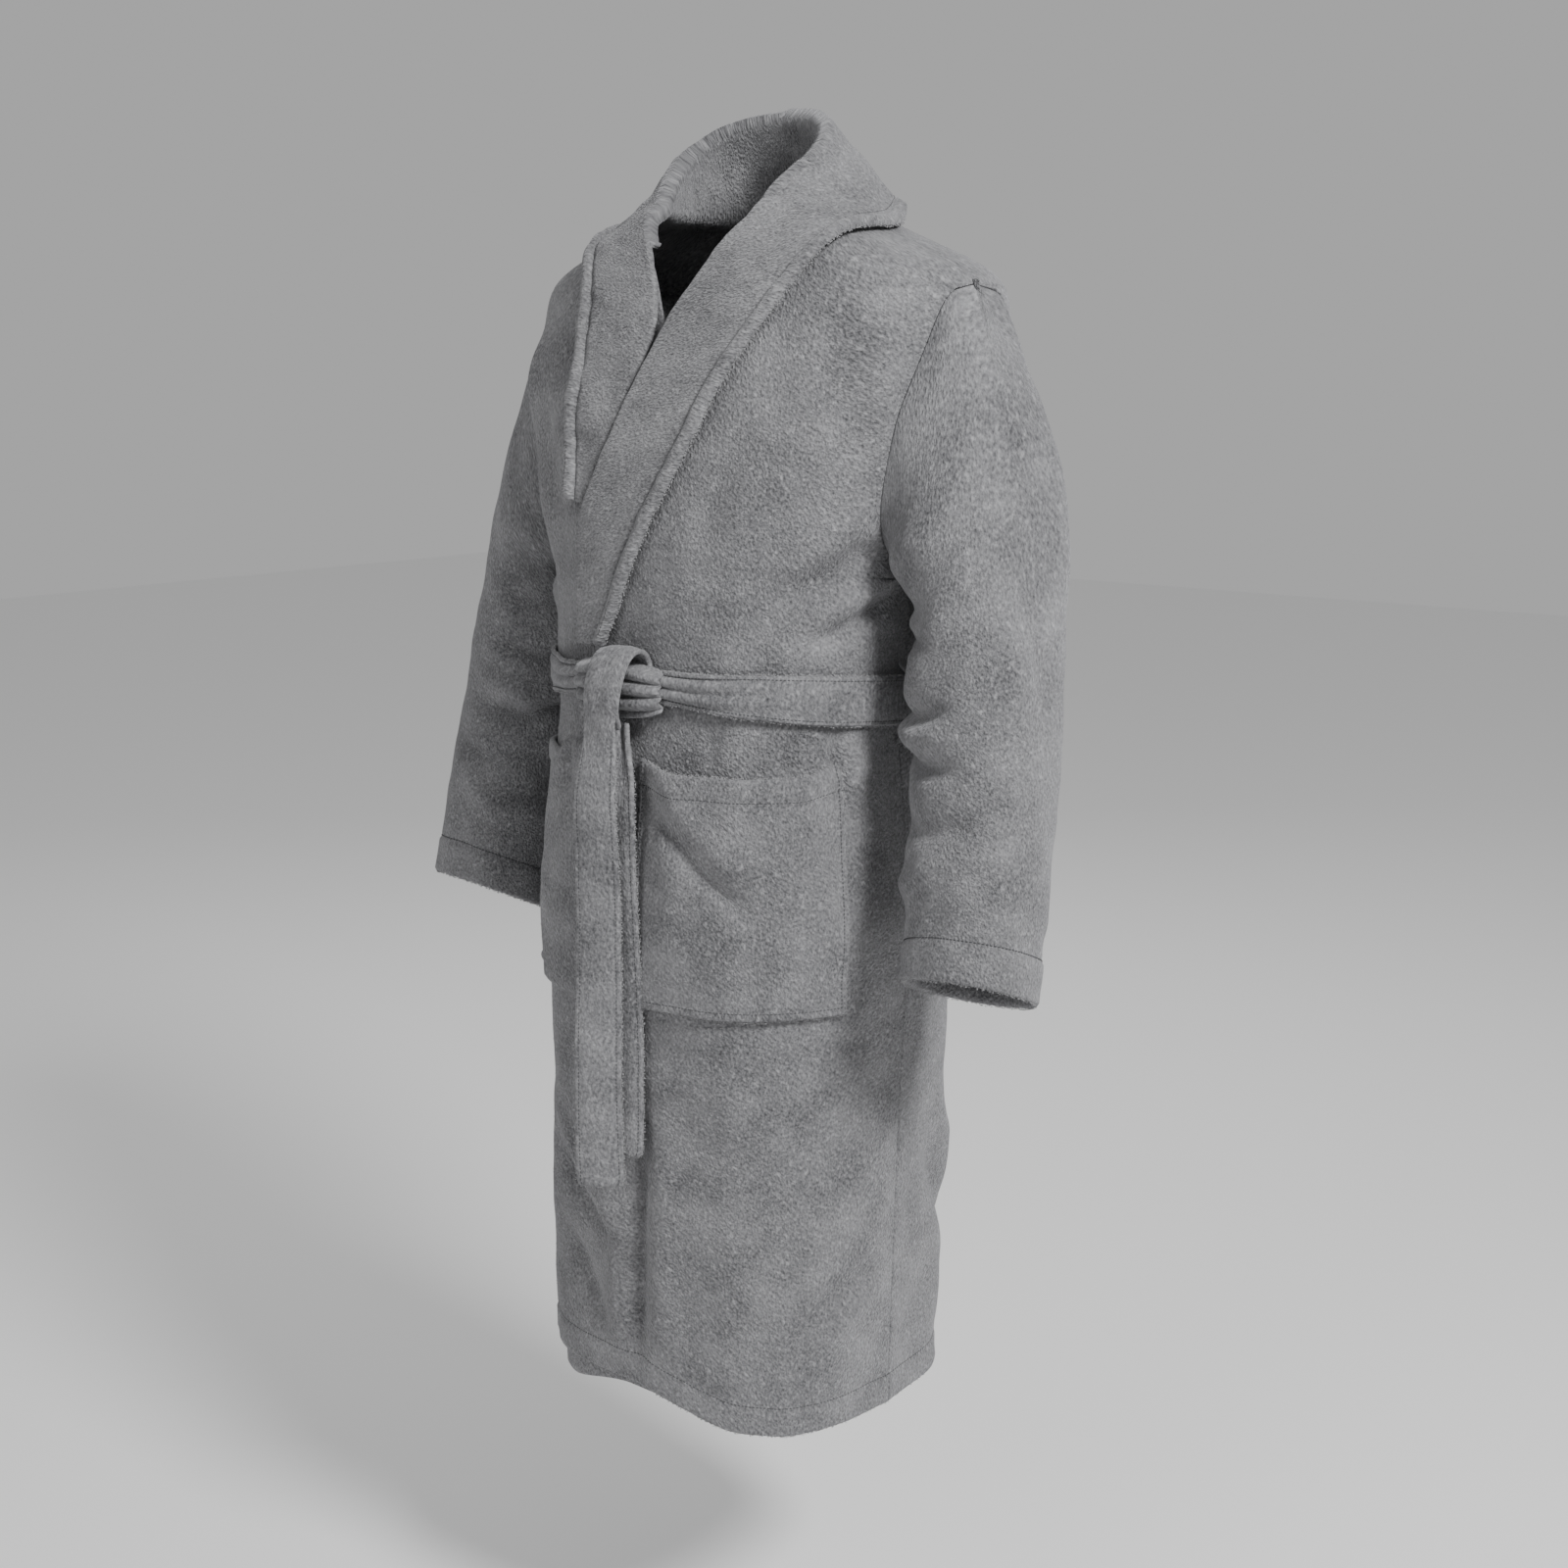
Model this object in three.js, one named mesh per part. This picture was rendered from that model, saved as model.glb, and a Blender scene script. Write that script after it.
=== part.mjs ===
import * as THREE from "three";

// A terry shawl-collar bathrobe, standing as it is worn, tied at the waist.
// Working axes: x to the wearer's left, y to the back, z up from the hem. The whole robe is moved at the end
// so that the origin is at the hanger loop.

// ---- driving dimensions, mm ----
const clothThickness = 3.5;
const collarThickness = 3.0;
const gap = 0.3;
const layerGap = 1.5;
const bodyRoundness = 2.5;

// Outline of the worn robe by height above the hem: [height, value]
const halfWidthByHeight = [
  [0, 168], [250, 176], [470, 186], [580, 178], [640, 172], [700, 176], [780, 180], [840, 204],
  [920, 226], [1010, 235], [1033, 232], [1045, 205], [1060, 160], [1080, 113], [1090, 93], [1200, 80],
];
const frontByHeight = [
  [0, -168], [250, -166], [470, -165], [580, -158], [640, -150], [700, -151], [810, -154], [850, -149],
  [910, -134], [970, -108], [1025, -87], [1060, -73], [1090, -60], [1200, -40],
];
const backByHeight = [
  [0, 168], [250, 170], [470, 166], [580, 144], [640, 134], [700, 150], [810, 175], [900, 185],
  [970, 180], [1010, 172], [1060, 148], [1080, 125], [1090, 108], [1200, 70],
];
const middleByHeight = [[0, 0], [640, 0], [810, 10], [970, 25], [1200, 25]];

const neckHeight = 1090;
const underarmHeight = 780;
const shoulderTipX = 232;
const shoulderTipHeight = 1033;
const armholeLean = 0.2;

// Free edges of the two fronts: [height, x]
const leftEdgeByHeight = [
  [0, -125], [560, -120], [620, -90], [680, -52], [770, -50], [835, -43], [890, -22], [940, -6],
  [985, 6], [1042, 38], [1065, 62], [1090, 90],
];
const rightEdgeByHeight = [[0, 85], [850, 80], [930, 30], [990, -10], [1042, -40], [1065, -64], [1090, -90]];
const flapHingeX = -45;
const flapTopHeight = 585;
const overlapEndsAtX = 95;
const overlapFadesByX = 130;
const frontHemLift = 38;
const hemRiseEndsAtX = 150;
const rightHemShare = 0.75;
const hemFadeHeight = 400;

const belt = {
  clearance: 2.8, width: 43, widthAtKnot: 25, thickness: 3.5, frontHeight: 685, sideHeight: 668, backHeight: 615,
};
const knot = { x: -12, halfWidth: 30, height: 683, halfHeight: 31, depth: 35.8, squareness: 0.95 };
const rearTail = { x: 6, y: -185, topX: -6, topY: -168, facing: 15, endHeight: 262 };
const frontTail = { x: -3, y: -203, topX: -10, topY: -185, facing: 35, endHeight: 235 };
const tail = { width: 43, widthAtKnot: 26, thickness: 4, freeBelow: 590 };
const tailTopHeight = knot.height - knot.halfHeight - gap;
const pocket = {
  fromX: 15, toAngle: 66, topHeight: 620, bottomHeight: 400, room: 16, thickness: 3.2, coveredThickness: 2.6,
  clearance: 1.4,
};
const beltLoop = { width: 9, thickness: 2.4, height: 62, reach: 17 };
const sleeveHem = { depth: 35, thickness: 2.6 };
const bodyHem = { depth: 30, thickness: 2.6, clearance: 0.6 };
const hangerLoop = { halfSpan: 34, width: 10, thickness: 2.2, rise: 26, foot: 4, baseY: 90.8, apexY: 68 };

// Sleeve sections from armhole to cuff: inner and outer end across the arm [x, height], middle y, half depth,
// and how much the section leans forward
const sleeveSections = [
  { inner: [190, 752], outer: [275, 945], y: 28, half: 90, lean: 0 },
  { inner: [191, 722], outer: [305, 840], y: 20, half: 84, lean: 0 },
  { inner: [192, 692], outer: [324, 750], y: 10, half: 76, lean: 0.08 },
  { inner: [204, 622], outer: [336, 645], y: -8, half: 68, lean: 0.18 },
  { inner: [219, 528], outer: [345, 536], y: -32, half: 60, lean: 0.27 },
  { inner: [230, 436], outer: [350, 434], y: -57, half: 54, lean: 0.32 },
];

// Collar stations from the centre back to the waist: seam, roll line and outer edge as [x, y, height]
const collarBack = [
  { seam: [0, 105, 1094], roll: [0, 52, 1180], edge: [0, 120, 1114] },
  { seam: [45, 99, 1094], roll: [38, 48, 1178], edge: [62, 112, 1112] },
  { seam: [76, 76, 1094], roll: [64, 30, 1165], edge: [104, 84, 1098] },
  { seam: [91, 30, 1094], roll: [76, 4, 1142], edge: [134, 36, 1082] },
  { seam: [86, -12, 1090], roll: [66, -30, 1112], edge: [141, -20, 1066] },
];
// Collar on the chest: [height, x] of its roll line and of its outer edge
const leftCollar = {
  roll: [[716, -54], [775, -56], [830, -49], [888, -28], [940, -12], [985, 2], [1030, 26], [1062, 46]],
  edge: [[716, -24], [775, 3], [830, 30], [888, 59], [940, 77], [985, 96], [1030, 122], [1062, 136]],
  endHeight: 716,
};
const rightCollar = {
  roll: [[838, 60], [888, 38], [940, 23], [990, 15], [1030, 30], [1062, 47]],
  edge: [[838, 78], [888, 88], [940, 99], [990, 108], [1030, 118], [1062, 132]],
  endHeight: 838,
};
const collarTopOnChest = 1062;
const collarStationStep = 18;

// ---- small helpers ----
const radians = (degrees) => degrees * Math.PI / 180;
const mix = (a, b, t) => a + (b - a) * t;

// 0 before from, 1 after to, with a soft start and end
function smooth(from, to, value) {
  const t = Math.min(1, Math.max(0, (value - from) / (to - from)));
  return t * t * (3 - 2 * t);
}

// Value of a [position, value] table, straight between its rows and level beyond its ends
function lookUp(table, at) {
  if (at <= table[0][0]) return table[0][1];
  for (let i = 1; i < table.length; i += 1) {
    const [x1, y1] = table[i];
    const [x0, y0] = table[i - 1];
    if (at <= x1) return mix(y0, y1, (at - x0) / (x1 - x0));
  }
  return table[table.length - 1][1];
}

// How far the outline reaches ahead of, or behind, its middle line
function reachAt(height, back) {
  const middle = lookUp(middleByHeight, height);
  return back ? lookUp(backByHeight, height) - middle : middle - lookUp(frontByHeight, height);
}

// Point of the body surface, offset outwards: angle 0 is the front centre, 90 the wearer's left side, 180 the back
function bodyPoint(angle, height, offset) {
  const side = Math.sin(angle);
  const ahead = Math.cos(angle);
  const halfWidth = lookUp(halfWidthByHeight, height) + offset;
  const reach = reachAt(height, ahead < 0) + offset;
  const across = (Math.abs(side) / halfWidth) ** bodyRoundness;
  const along = (Math.abs(ahead) / reach) ** bodyRoundness;
  const size = (across + along) ** (-1 / bodyRoundness);
  return new THREE.Vector3(side * size, lookUp(middleByHeight, height) - ahead * size, height);
}

// Angle at which the surface stands at a given x, on the front half or on the back half
function angleAtX(x, height, back = false) {
  const share = Math.min(1, Math.abs(x) / lookUp(halfWidthByHeight, height));
  const along = reachAt(height, back) * (1 - share ** bodyRoundness) ** (1 / bodyRoundness);
  const angle = Math.atan2(x, along);
  return back ? Math.PI - angle : angle;
}

const armholeX = (height) => shoulderTipX - armholeLean * (shoulderTipHeight - height);

// Angle from the front centre, or from the back centre, to the side seam, armhole or shoulder seam
function seamAngle(height, back = false) {
  const halfWidth = lookUp(halfWidthByHeight, height);
  const sideSeam = Math.PI / 2 - gap / halfWidth;
  if (height <= underarmHeight || height >= shoulderTipHeight) return sideSeam;
  const armhole = angleAtX(armholeX(height) - gap, height, back);
  return Math.min(sideSeam, back ? Math.PI - armhole : armhole);
}

// Rise of a front's hem towards its free edge
function frontHemRise(x) {
  return frontHemLift * (1 - smooth(0, hemRiseEndsAtX, x));
}

// How far the outer front is lifted by what it lies on: the under front, the turned-up hem and the covered pocket
function overlapLift(x, height) {
  const overFront = 1 - smooth(overlapEndsAtX, overlapFadesByX, x);
  const overHem = 1 - smooth(bodyHem.depth, 125, height);
  const beside = smooth(pocket.fromX - 18, pocket.fromX - 4, -x);
  const within = smooth(pocket.bottomHeight - 12, pocket.bottomHeight - 2, height)
    * (1 - smooth(pocket.topHeight + 2, pocket.topHeight + 12, height));
  return overFront * (clothThickness + layerGap + overHem * (bodyHem.thickness + bodyHem.clearance))
    + beside * within * (pocket.coveredThickness + 2.4 * layerGap);
}

// Closed solid between an outer and an inner grid of points
function solidBetween(outer, inner, closedAcross) {
  const rows = outer.length;
  const columns = outer[0].length;
  const positions = [];
  const index = [];
  for (const layer of [outer, inner]) {
    for (const row of layer) {
      for (const p of row) positions.push(p.x, p.y, p.z);
    }
  }
  const at = (side, r, c) => side * rows * columns + r * columns + (c % columns);
  const quad = (a, b, c, d) => index.push(a, b, c, a, c, d);
  const lastColumn = closedAcross ? columns : columns - 1;
  for (let r = 0; r < rows - 1; r += 1) {
    for (let c = 0; c < lastColumn; c += 1) {
      quad(at(0, r, c), at(0, r, c + 1), at(0, r + 1, c + 1), at(0, r + 1, c));
      quad(at(1, r, c), at(1, r + 1, c), at(1, r + 1, c + 1), at(1, r, c + 1));
    }
  }
  for (let c = 0; c < lastColumn; c += 1) {
    quad(at(0, 0, c), at(1, 0, c), at(1, 0, c + 1), at(0, 0, c + 1));
    quad(at(0, rows - 1, c), at(0, rows - 1, c + 1), at(1, rows - 1, c + 1), at(1, rows - 1, c));
  }
  if (!closedAcross) {
    const end = columns - 1;
    for (let r = 0; r < rows - 1; r += 1) {
      quad(at(0, r, 0), at(0, r + 1, 0), at(1, r + 1, 0), at(1, r, 0));
      quad(at(0, r, end), at(1, r, end), at(1, r + 1, end), at(0, r + 1, end));
    }
  }
  const geometry = new THREE.BufferGeometry();
  geometry.setAttribute("position", new THREE.Float32BufferAttribute(positions, 3));
  geometry.setIndex(index);
  if (signedVolume(geometry) < 0) flip(geometry);
  return geometry;
}

function signedVolume(geometry) {
  const position = geometry.getAttribute("position");
  const index = geometry.getIndex().array;
  const corner = (i) => new THREE.Vector3().fromBufferAttribute(position, index[i]);
  let volume = 0;
  for (let i = 0; i < index.length; i += 3) {
    volume += corner(i).dot(corner(i + 1).cross(corner(i + 2)));
  }
  return volume / 6;
}

function flip(geometry) {
  const index = geometry.getIndex().array;
  for (let i = 0; i < index.length; i += 3) {
    [index[i + 1], index[i + 2]] = [index[i + 2], index[i + 1]];
  }
}

// Grid of rows by columns from a function of two shares, each 0 to 1
function grid(rows, columns, pointAt) {
  return Array.from({ length: rows }, (_, r) => (
    Array.from({ length: columns }, (__, c) => pointAt(r / (rows - 1), c / (columns - 1)))
  ));
}

function mirrored(geometry) {
  const copy = geometry.clone();
  copy.scale(-1, 1, 1);
  flip(copy);
  return copy;
}

// Heights at which panel rows stand, denser where the outline bends
function rowHeights(low, high) {
  const wanted = [
    0, 30, 60, 125, 250, 360, 388, 400, 470, 530, 620, 632, 670, 700, 740, 780, 810, 850, 880, 910, 940, 970, 990,
    1010, 1033, 1045, 1060, 1080, 1090,
  ];
  const inside = wanted.filter((h) => h > low + 8 && h < high - 8);
  return [low, ...inside, high];
}

// Panel of cloth between two angles. Its rows rise with the hem, and lift carries it over what it lies on.
function panelOnRows(heights, columns, { startAngle, endAngle, lift, thickness, hem }) {
  const layer = (depth) => heights.map((height) => (
    Array.from({ length: columns }, (_, c) => {
      const angle = mix(startAngle(height), endAngle(height), c / (columns - 1));
      const surfaceX = bodyPoint(angle, height, 0).x;
      const raised = height + hem(surfaceX) * (1 - smooth(0, hemFadeHeight, height));
      return bodyPoint(angle, raised, lift(surfaceX, height) - depth);
    })
  ));
  return solidBetween(layer(0), layer(thickness), false);
}

const noLift = () => 0;
const noHem = () => 0;
const leftHem = (x) => frontHemRise(x);
const rightHem = (x) => frontHemRise(-x) * rightHemShare;

// ---- body panels ----
const backSpan = {
  startAngle: (h) => Math.PI - seamAngle(h, true),
  endAngle: (h) => Math.PI + seamAngle(h, true),
  lift: noLift,
  hem: noHem,
};
const leftSpan = {
  startAngle: (h) => angleAtX(h <= flapTopHeight ? flapHingeX + gap : lookUp(leftEdgeByHeight, h), h),
  endAngle: (h) => seamAngle(h),
  lift: overlapLift,
  hem: leftHem,
};
const overlapSpan = {
  startAngle: (h) => angleAtX(lookUp(leftEdgeByHeight, h), h),
  endAngle: (h) => angleAtX(flapHingeX, h),
  lift: overlapLift,
  hem: leftHem,
};
const rightSpan = {
  startAngle: (h) => -seamAngle(h),
  endAngle: (h) => angleAtX(lookUp(rightEdgeByHeight, h), h),
  lift: noLift,
  hem: rightHem,
};

function panel(columns, heights, span) {
  return panelOnRows(heights, columns, { ...span, thickness: clothThickness });
}

// Turned-up allowance inside the hem of a panel
function hemBand(columns, { startAngle, endAngle, lift, hem }) {
  return panelOnRows([0, bodyHem.depth], columns, {
    startAngle,
    endAngle,
    lift: (x, height) => lift(x, height) - clothThickness - bodyHem.clearance,
    thickness: bodyHem.thickness,
    hem,
  });
}

// ---- sleeves ----
// The sleeve's first ring follows the armhole
function armholePoint(share) {
  const middleHeight = (underarmHeight + shoulderTipHeight) / 2;
  const height = middleHeight + (shoulderTipHeight - underarmHeight) / 2 * Math.cos(2 * Math.PI * share);
  const x = armholeX(height);
  const onBody = bodyPoint(angleAtX(x, height, share > 0.5), height, 0);
  return new THREE.Vector3(x + gap, onBody.y, height);
}

// Point round a sleeve section: share 0 is its outer end, 0.25 the front, 0.5 the inner end, 0.75 the back
function sleeveRing(section, share) {
  const across = Math.cos(2 * Math.PI * share);
  const along = -Math.sin(2 * Math.PI * share);
  const y = section.y + section.half * along;
  const x = mix(section.inner[0], section.outer[0], (across + 1) / 2);
  const height = mix(section.inner[1], section.outer[1], (across + 1) / 2) - section.lean * (y - section.y);
  return new THREE.Vector3(x, y, height);
}

function ringCentre(ring) {
  return ring.reduce((sum, p) => sum.add(p), new THREE.Vector3()).multiplyScalar(1 / ring.length);
}

// Ring moved towards its centre
function shrunk(ring, by) {
  const centre = ringCentre(ring);
  return ring.map((p) => p.clone().add(centre.clone().sub(p).setLength(by)));
}

function sleeveRings(columns) {
  const shares = Array.from({ length: columns }, (_, c) => c / columns);
  const rings = [shares.map(armholePoint)];
  let before = rings[0];
  for (const section of sleeveSections) {
    const ring = shares.map((share) => sleeveRing(section, share));
    rings.push(before.map((p, c) => p.clone().lerp(ring[c], 0.5)));
    rings.push(ring);
    before = ring;
  }
  return rings;
}

function sleeve() {
  const rings = sleeveRings(20);
  return solidBetween(rings, rings.map((ring) => shrunk(ring, clothThickness)), true);
}

function sleeveHemRing() {
  const rings = sleeveRings(20);
  const end = rings[rings.length - 1];
  const above = rings[rings.length - 2];
  const share = sleeveHem.depth / ringCentre(end).distanceTo(ringCentre(above));
  const top = end.map((p, c) => p.clone().lerp(above[c], share));
  const outer = [end, top].map((ring) => shrunk(ring, clothThickness + gap * 1.5));
  const inner = outer.map((ring) => shrunk(ring, sleeveHem.thickness));
  return solidBetween(outer, inner, true);
}

// ---- collar ----
// On the chest the collar lies on the front, with its roll line along the front's free edge
function chestStations({ roll, edge, endHeight }, side, lift) {
  const steps = Math.round((collarTopOnChest - endHeight) / collarStationStep);
  return Array.from({ length: steps + 1 }, (_, i) => {
    const height = mix(collarTopOnChest, endHeight, i / steps);
    const onBody = (x) => bodyPoint(angleAtX(x * side, height), height, lift(x * side, height));
    const rollX = lookUp(roll, height);
    return { seam: onBody(rollX - 4), roll: onBody(rollX), edge: onBody(lookUp(edge, height)) };
  });
}

function backStation({ seam, roll, edge }, side) {
  const placed = ([x, y, z]) => new THREE.Vector3(x * side, y, z);
  return { seam: placed(seam), roll: placed(roll), edge: placed(edge) };
}

// Push a point out to the body surface where it would sink in
function clearOfBody(point, liftAt) {
  if (point.z > neckHeight) return point;
  const lift = liftAt(point.x, point.z) + layerGap;
  const middle = lookUp(middleByHeight, point.z);
  const across = Math.abs(point.x) / (lookUp(halfWidthByHeight, point.z) + lift);
  const along = Math.abs(point.y - middle) / (reachAt(point.z, point.y > middle) + lift);
  const size = (across ** bodyRoundness + along ** bodyRoundness) ** (1 / bodyRoundness);
  if (size >= 1) return point;
  return new THREE.Vector3(point.x / size, middle + (point.y - middle) / size, point.z);
}

const standShares = [0, 0.35, 0.7, 1];
const fallShares = [0.17, 0.34, 0.5, 0.67, 0.84, 1];

// Cross-section of the collar: up the stand from the seam to the roll line, then down the fall to the edge
function collarRow(station, lift) {
  const { seam, roll, edge } = station;
  const stand = standShares.map((t) => seam.clone().lerp(roll, t));
  const crown = roll.clone().multiplyScalar(1.5).sub(seam.clone().multiplyScalar(0.5));
  const fall = fallShares.map((t) => {
    const first = roll.clone().lerp(crown, t * 0.25);
    return clearOfBody(first.lerp(edge, t), lift);
  });
  return [...stand, ...fall];
}

function surfaceNormal(rows, r, c) {
  const up = rows[Math.min(r + 1, rows.length - 1)][c].clone().sub(rows[Math.max(r - 1, 0)][c]);
  const across = rows[r][Math.min(c + 1, rows[r].length - 1)].clone().sub(rows[r][Math.max(c - 1, 0)]);
  return across.cross(up).normalize();
}

function collarLayer(side, chest, lift, from, to) {
  const stations = [
    ...collarBack.map((s) => backStation(s, side)),
    ...chestStations(chest, side, lift),
  ];
  const rows = stations.map((s) => collarRow(s, lift));
  rows[0].forEach((p) => { p.x = side * gap; });
  const raised = (by) => rows.map((row, r) => row.map((p, c) => {
    const normal = surfaceNormal(rows, r, c).multiplyScalar(-side);
    if (r === 0) normal.x = 0;
    return p.clone().addScaledVector(normal, by);
  }));
  return solidBetween(raised(to), raised(from), false);
}

// ---- belt ----
function beltHeight(angle) {
  const ahead = Math.cos(angle);
  return ahead > 0 ? mix(belt.sideHeight, belt.frontHeight, ahead) : mix(belt.sideHeight, belt.backHeight, -ahead);
}

function beltBand() {
  const knotSide = knot.halfWidth + gap;
  const start = angleAtX(knot.x + knotSide, belt.frontHeight);
  const end = 2 * Math.PI + angleAtX(knot.x - knotSide, belt.frontHeight);
  const point = (r, c, depth) => {
    const angle = mix(start, end, c);
    const fromKnot = Math.min(angle - start, end - angle);
    const width = mix(belt.widthAtKnot, belt.width, smooth(0, radians(60), fromKnot));
    const height = beltHeight(angle) + width * (r - 0.5);
    const x = bodyPoint(angle, height, 0).x;
    const onOuterFront = Math.cos(angle) > 0 ? smooth(-120, -80, x) : 0;
    const lift = onOuterFront * overlapLift(x, height);
    return bodyPoint(angle, height, lift + belt.clearance + belt.thickness - depth);
  };
  const layer = (depth) => grid(4, 49, (r, c) => point(r, c, depth));
  return solidBetween(layer(0), layer(belt.thickness), false);
}

// Rounded block from a sphere whose sides are flattened
function roundedBlock(centre, half, squareness) {
  const ball = new THREE.SphereGeometry(1, 16, 12);
  const position = ball.getAttribute("position");
  for (let i = 0; i < position.count; i += 1) {
    const p = new THREE.Vector3().fromBufferAttribute(position, i);
    const size = Math.max(Math.abs(p.x), Math.abs(p.y), Math.abs(p.z));
    p.multiplyScalar(mix(1, 1 / size, squareness));
    position.setXYZ(i, centre.x + half.x * p.x, centre.y + half.y * p.y, centre.z + half.z * p.z);
  }
  return ball;
}

// The knot's back lies on the outer front
function beltKnot() {
  const backY = lookUp(frontByHeight, knot.height) - clothThickness - layerGap - 1.6 * gap;
  const centre = new THREE.Vector3(knot.x, backY - knot.depth / 2, knot.height);
  const half = new THREE.Vector3(knot.halfWidth, knot.depth / 2, knot.halfHeight);
  return roundedBlock(centre, half, knot.squareness);
}

// Hanging end of the belt: flat and narrow under the knot, then turned towards the wearer's left
function beltTail({ x, y, topX, topY, facing, endHeight }) {
  const layer = (side) => grid(15, 3, (r, c) => {
    const height = mix(endHeight, tailTopHeight, r);
    const atKnot = smooth(tail.freeBelow, tailTopHeight, height);
    const turn = radians(facing) * (1 - atKnot);
    const across = new THREE.Vector3(Math.cos(turn), Math.sin(turn), 0);
    const out = new THREE.Vector3(across.y, -across.x, 0);
    return new THREE.Vector3(mix(x, topX, atKnot), mix(y, topY, atKnot), height)
      .addScaledVector(across, mix(tail.width, tail.widthAtKnot, atKnot) * (c - 0.5))
      .addScaledVector(out, side * tail.thickness / 2);
  });
  return solidBetween(layer(1), layer(-1), false);
}

// ---- trims ----
function beltLoopAt(side) {
  const height = belt.sideHeight;
  const rest = lookUp(halfWidthByHeight, height + beltLoop.height / 2) + gap;
  const path = [];
  for (let i = 0; i <= 12; i += 1) {
    const turn = Math.PI * (i / 12 - 0.5);
    path.push([rest + beltLoop.reach * Math.cos(turn), beltLoop.height / 2 * Math.sin(turn)]);
  }
  const layer = (inward) => path.map(([x, z], i) => {
    const turn = Math.PI * (i / 12 - 0.5);
    const px = x - inward * Math.cos(turn) * beltLoop.thickness;
    const pz = z - inward * Math.sin(turn) * beltLoop.thickness;
    return [-0.5, 0.5].map((t) => new THREE.Vector3(side * px, t * beltLoop.width, height + pz));
  });
  return solidBetween(layer(0), layer(1), false);
}

// Patch pocket: sewn down at both sides and along the bottom, open at the top
function patchPocket(side, lift, room, thickness) {
  const layer = (depth) => grid(9, 15, (r, c) => {
    const height = mix(pocket.bottomHeight, pocket.topHeight, r);
    const start = angleAtX(pocket.fromX, height);
    const angle = mix(start, radians(pocket.toAngle), c) * side;
    const x = bodyPoint(angle, height, 0).x;
    const acrossBelly = smooth(0, 0.22, c) * (1 - smooth(0.78, 1, c));
    const belly = acrossBelly * smooth(0, 0.2, r);
    const out = lift(x, height) + pocket.clearance + room * belly + thickness - depth;
    return bodyPoint(angle, height, out);
  });
  return solidBetween(layer(0), layer(thickness), false);
}

function hangerLoopStrip() {
  const steps = 14;
  const layer = (inward) => Array.from({ length: steps + 1 }, (_, i) => {
    const turn = Math.PI * i / steps;
    const x = -(hangerLoop.halfSpan - inward * hangerLoop.thickness) * Math.cos(turn);
    const rise = Math.sin(turn);
    const z = neckHeight + hangerLoop.foot + (hangerLoop.rise - inward * hangerLoop.thickness) * rise;
    const y = mix(hangerLoop.baseY, hangerLoop.apexY, rise);
    return [0, 1].map((t) => new THREE.Vector3(x, y - t * hangerLoop.width, z));
  });
  return solidBetween(layer(0), layer(1), false);
}

// ---- assembly ----
const group = new THREE.Group();
group.name = "bathrobe";
const hookHeight = neckHeight + hangerLoop.foot + hangerLoop.rise - hangerLoop.thickness;
const originPoint = new THREE.Vector3(0, hangerLoop.apexY - hangerLoop.width / 2, hookHeight);

function add(name, geometry, colour) {
  const material = new THREE.MeshStandardMaterial({ color: colour, roughness: 0.95, metalness: 0 });
  geometry.translate(-originPoint.x, -originPoint.y, -originPoint.z);
  const mesh = new THREE.Mesh(geometry, material);
  mesh.name = name;
  group.add(mesh);
}

const terry = 0x85858a;
const terryShade = 0x77777c;

const fullRows = rowHeights(0, neckHeight);
const flapRows = rowHeights(0, flapTopHeight - gap);
const aroundFlapRows = [...rowHeights(0, flapTopHeight), ...rowHeights(flapTopHeight + gap, neckHeight)];
add("back_panel", panel(25, fullRows, backSpan), terry);
add("left_front", panel(17, aroundFlapRows, leftSpan), terry);
add("left_front_overlap", panel(6, flapRows, overlapSpan), terry);
add("right_front", panel(17, fullRows, rightSpan), terry);
add("back_hem", hemBand(25, backSpan), terryShade);
add("left_front_hem", hemBand(17, leftSpan), terryShade);
add("left_overlap_hem", hemBand(6, overlapSpan), terryShade);
add("right_front_hem", hemBand(17, rightSpan), terryShade);

for (const [side, word] of [[1, "left"], [-1, "right"]]) {
  const turned = (geometry) => (side > 0 ? geometry : mirrored(geometry));
  const chest = side > 0 ? leftCollar : rightCollar;
  const lift = side > 0 ? overlapLift : noLift;
  const underTop = layerGap + collarThickness;
  add(`${word}_sleeve`, turned(sleeve()), terry);
  add(`${word}_sleeve_hem`, turned(sleeveHemRing()), terryShade);
  add(`${word}_under_collar`, collarLayer(side, chest, lift, layerGap, underTop), terryShade);
  const overTop = underTop + gap + collarThickness;
  add(`${word}_collar`, collarLayer(side, chest, lift, underTop + gap, overTop), terry);
  add(`${word}_belt_loop`, beltLoopAt(side), terryShade);
}

add("left_pocket", patchPocket(1, overlapLift, pocket.room, pocket.thickness), terry);
add("right_pocket", patchPocket(-1, noLift, 0, pocket.coveredThickness), terry);
add("belt_band", beltBand(), terry);
add("belt_knot", beltKnot(), terry);
add("belt_rear_tail", beltTail(rearTail), terry);
add("belt_front_tail", beltTail(frontTail), terry);
add("hanger_loop", hangerLoopStrip(), terryShade);

export default group;
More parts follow.
